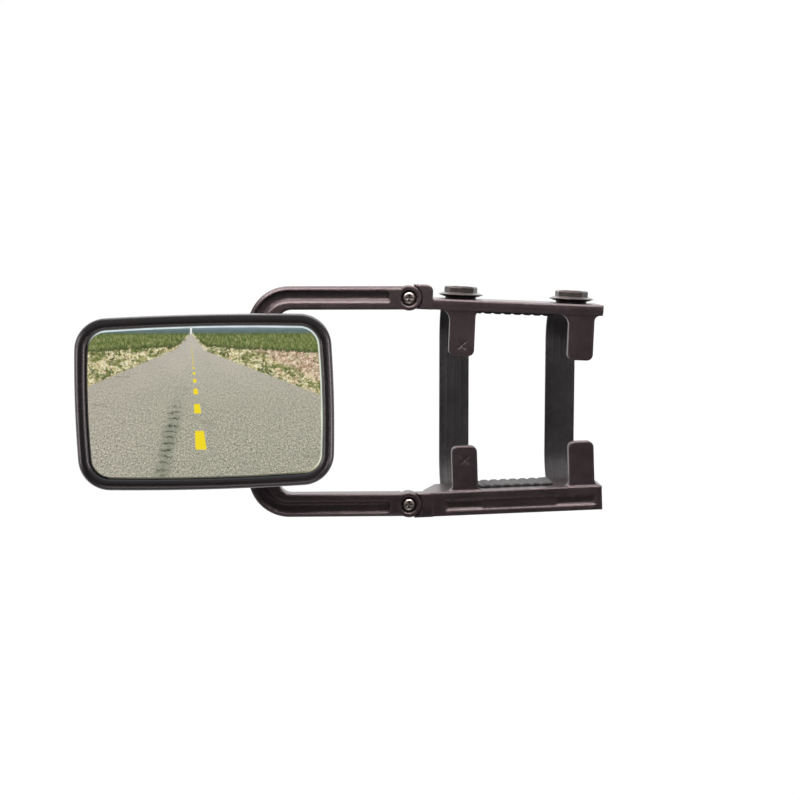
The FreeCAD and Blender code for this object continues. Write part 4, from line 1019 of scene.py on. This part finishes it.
# ------------------------------------------------------------------ stage
def floor_material():
    """White to the camera and in reflections, where it darkens towards the
    front; matt grey to all other light."""
    t = MaterialTree("studio_floor")
    matt = t.principled(Base_Color=(0.42, 0.42, 0.42), Roughness=0.9)
    light_path = t.node("LightPath")
    seen, mirrored = (light_path.outputs[key] for key in ("Is Camera Ray", "Is Glossy Ray"))
    _, y, _ = t.split(t.node("NewGeometry").outputs["Position"])
    strength = t.mix_value(seen, t.fade(y, (-0.2, 0.9), to=(0.10, 1.10)), 1.02)
    glow = t.emission((1, 1, 1), strength)
    return t.surface(t.mix_shader(t.math("MAXIMUM", seen, mirrored), matt, glow))


def studio_sheet():
    """One sheet: a floor that curves up into a back wall."""
    material = floor_material()
    floor_z = cad_low.z - 0.95
    half_width, front_y, curve_y, radius, wall_top = 6, -6.0, 1.2, 0.8, 4.0
    profile = [(front_y, floor_z), (curve_y, floor_z)]
    for i in range(1, 13):
        angle = math.radians(90 * i / 12)
        profile.append((curve_y + radius * math.sin(angle),
                        floor_z + radius * (1 - math.cos(angle))))
    profile.append((curve_y + radius, wall_top))
    verts = [(x, y, z) for y, z in profile for x in (-half_width, half_width)]
    faces = [(2 * i, 2 * i + 1, 2 * i + 3, 2 * i + 2) for i in range(len(profile) - 1)]
    mesh = bpy.data.meshes.new("studio_sheet")
    mesh.from_pydata(verts, [], faces)
    mesh.materials.append(material)
    for polygon in mesh.polygons:
        polygon.use_smooth = True
    ob = bpy.data.objects.new("studio_sheet", mesh)
    scene.collection.objects.link(ob)


def look_at(ob, at, target):
    ob.location = at
    ob.rotation_euler = (Vector(target) - Vector(at)).to_track_quat("-Z", "Y").to_euler()


def area_light(name, at, target, size, power, colour):
    light = bpy.data.lights.new(name, "AREA")
    light.shape = "RECTANGLE"
    light.size, light.size_y = size
    light.energy = power
    light.color = colour
    ob = bpy.data.objects.new(name, light)
    scene.collection.objects.link(ob)
    look_at(ob, at, target)
    ob.visible_camera = False
    return ob


ROSE = (1.0, 0.93, 0.95)
# name, place, target, size (width, height), power in watts, colour
LIGHTS = (
    ("key", (-0.16, -0.20, 0.50), (-0.12, 0.0, 0.04), (0.95, 0.28), 13.5, (1.0, 0.965, 0.955)),
    ("front", (-0.75, -1.35, 0.75), (-0.12, 0, 0), (0.9, 0.9), 3.4, (1.0, 0.97, 0.96)),
    ("fill", (1.1, -1.3, 0.2), (-0.05, 0, 0), (1.0, 1.0), 1.8, (0.97, 0.98, 1.0)),
    ("rim", (0.1, 0.75, 0.75), (-0.1, 0, 0), (1.2, 1.2), 6, (1, 1, 1)),
    ("side_l", (-1.35, -0.30, 0.10), (-0.25, -0.06, 0.0), (0.35, 0.9), 5.0, ROSE),
    ("side_r", (0.85, -0.36, -0.05), (-0.25, -0.06, 0.0), (0.35, 0.8), 5.0, ROSE),
    ("under", (-0.22, -0.45, -0.75), (-0.25, -0.06, -0.05), (0.8, 0.3), 1.4, ROSE),
    ("glint", (0.35, -0.75, -0.35), (-0.16, -0.07, -0.05), (0.16, 0.16), 0.9, ROSE),
)
HEAD_PIECES = ("head_bezel", "head_shell", "mirror_glass", "glass_foam_pad", "case_screws",
               "bezel_ring", "mirror_pane")


def link_lights(lamps):
    """Key and front light skip the head; the side lights and glint light only it."""
    others = bpy.data.collections.new("key_receivers")
    head = bpy.data.collections.new("glint_receivers")
    for ob in scene.collection.all_objects:
        if ob.type == "MESH":
            (head if ob.name in HEAD_PIECES else others).objects.link(ob)
    for receivers, names in ((others, ("key", "front")), (head, ("glint", "side_l", "side_r"))):
        for name in names:
            lamps[name].light_linking.receiver_collection = receivers


def studio_world():
    """White to the camera; otherwise a dim glow that grows upwards."""
    world = bpy.data.worlds.new("studio")
    scene.world = world
    world.use_nodes = True
    t = Tree(world.node_tree)
    background = world.node_tree.nodes["Background"]
    t.put(background.inputs[0], (1, 1, 1))
    _, _, height = t.split(t.coord.outputs["Generated"])
    glow = t.fade(height, (-0.1, 0.8), to=(0.10, 0.42))
    seen = t.node("LightPath").outputs["Is Camera Ray"]
    t.put(background.inputs[1], t.mix_value(seen, glow, 1.0))


def add_camera():
    data = bpy.data.cameras.new("camera")
    data.lens = LENS
    data.sensor_width = SENSOR_WIDTH
    camera = bpy.data.objects.new("camera", data)
    scene.collection.objects.link(camera)
    look_at(camera, CAMERA_AT, CAMERA_TARGET)
    scene.camera = camera


studio_sheet()
link_lights({light[0]: area_light(*light) for light in LIGHTS})
studio_world()
add_camera()
scene.view_settings.view_transform = "Standard"
scene.view_settings.look = "None"
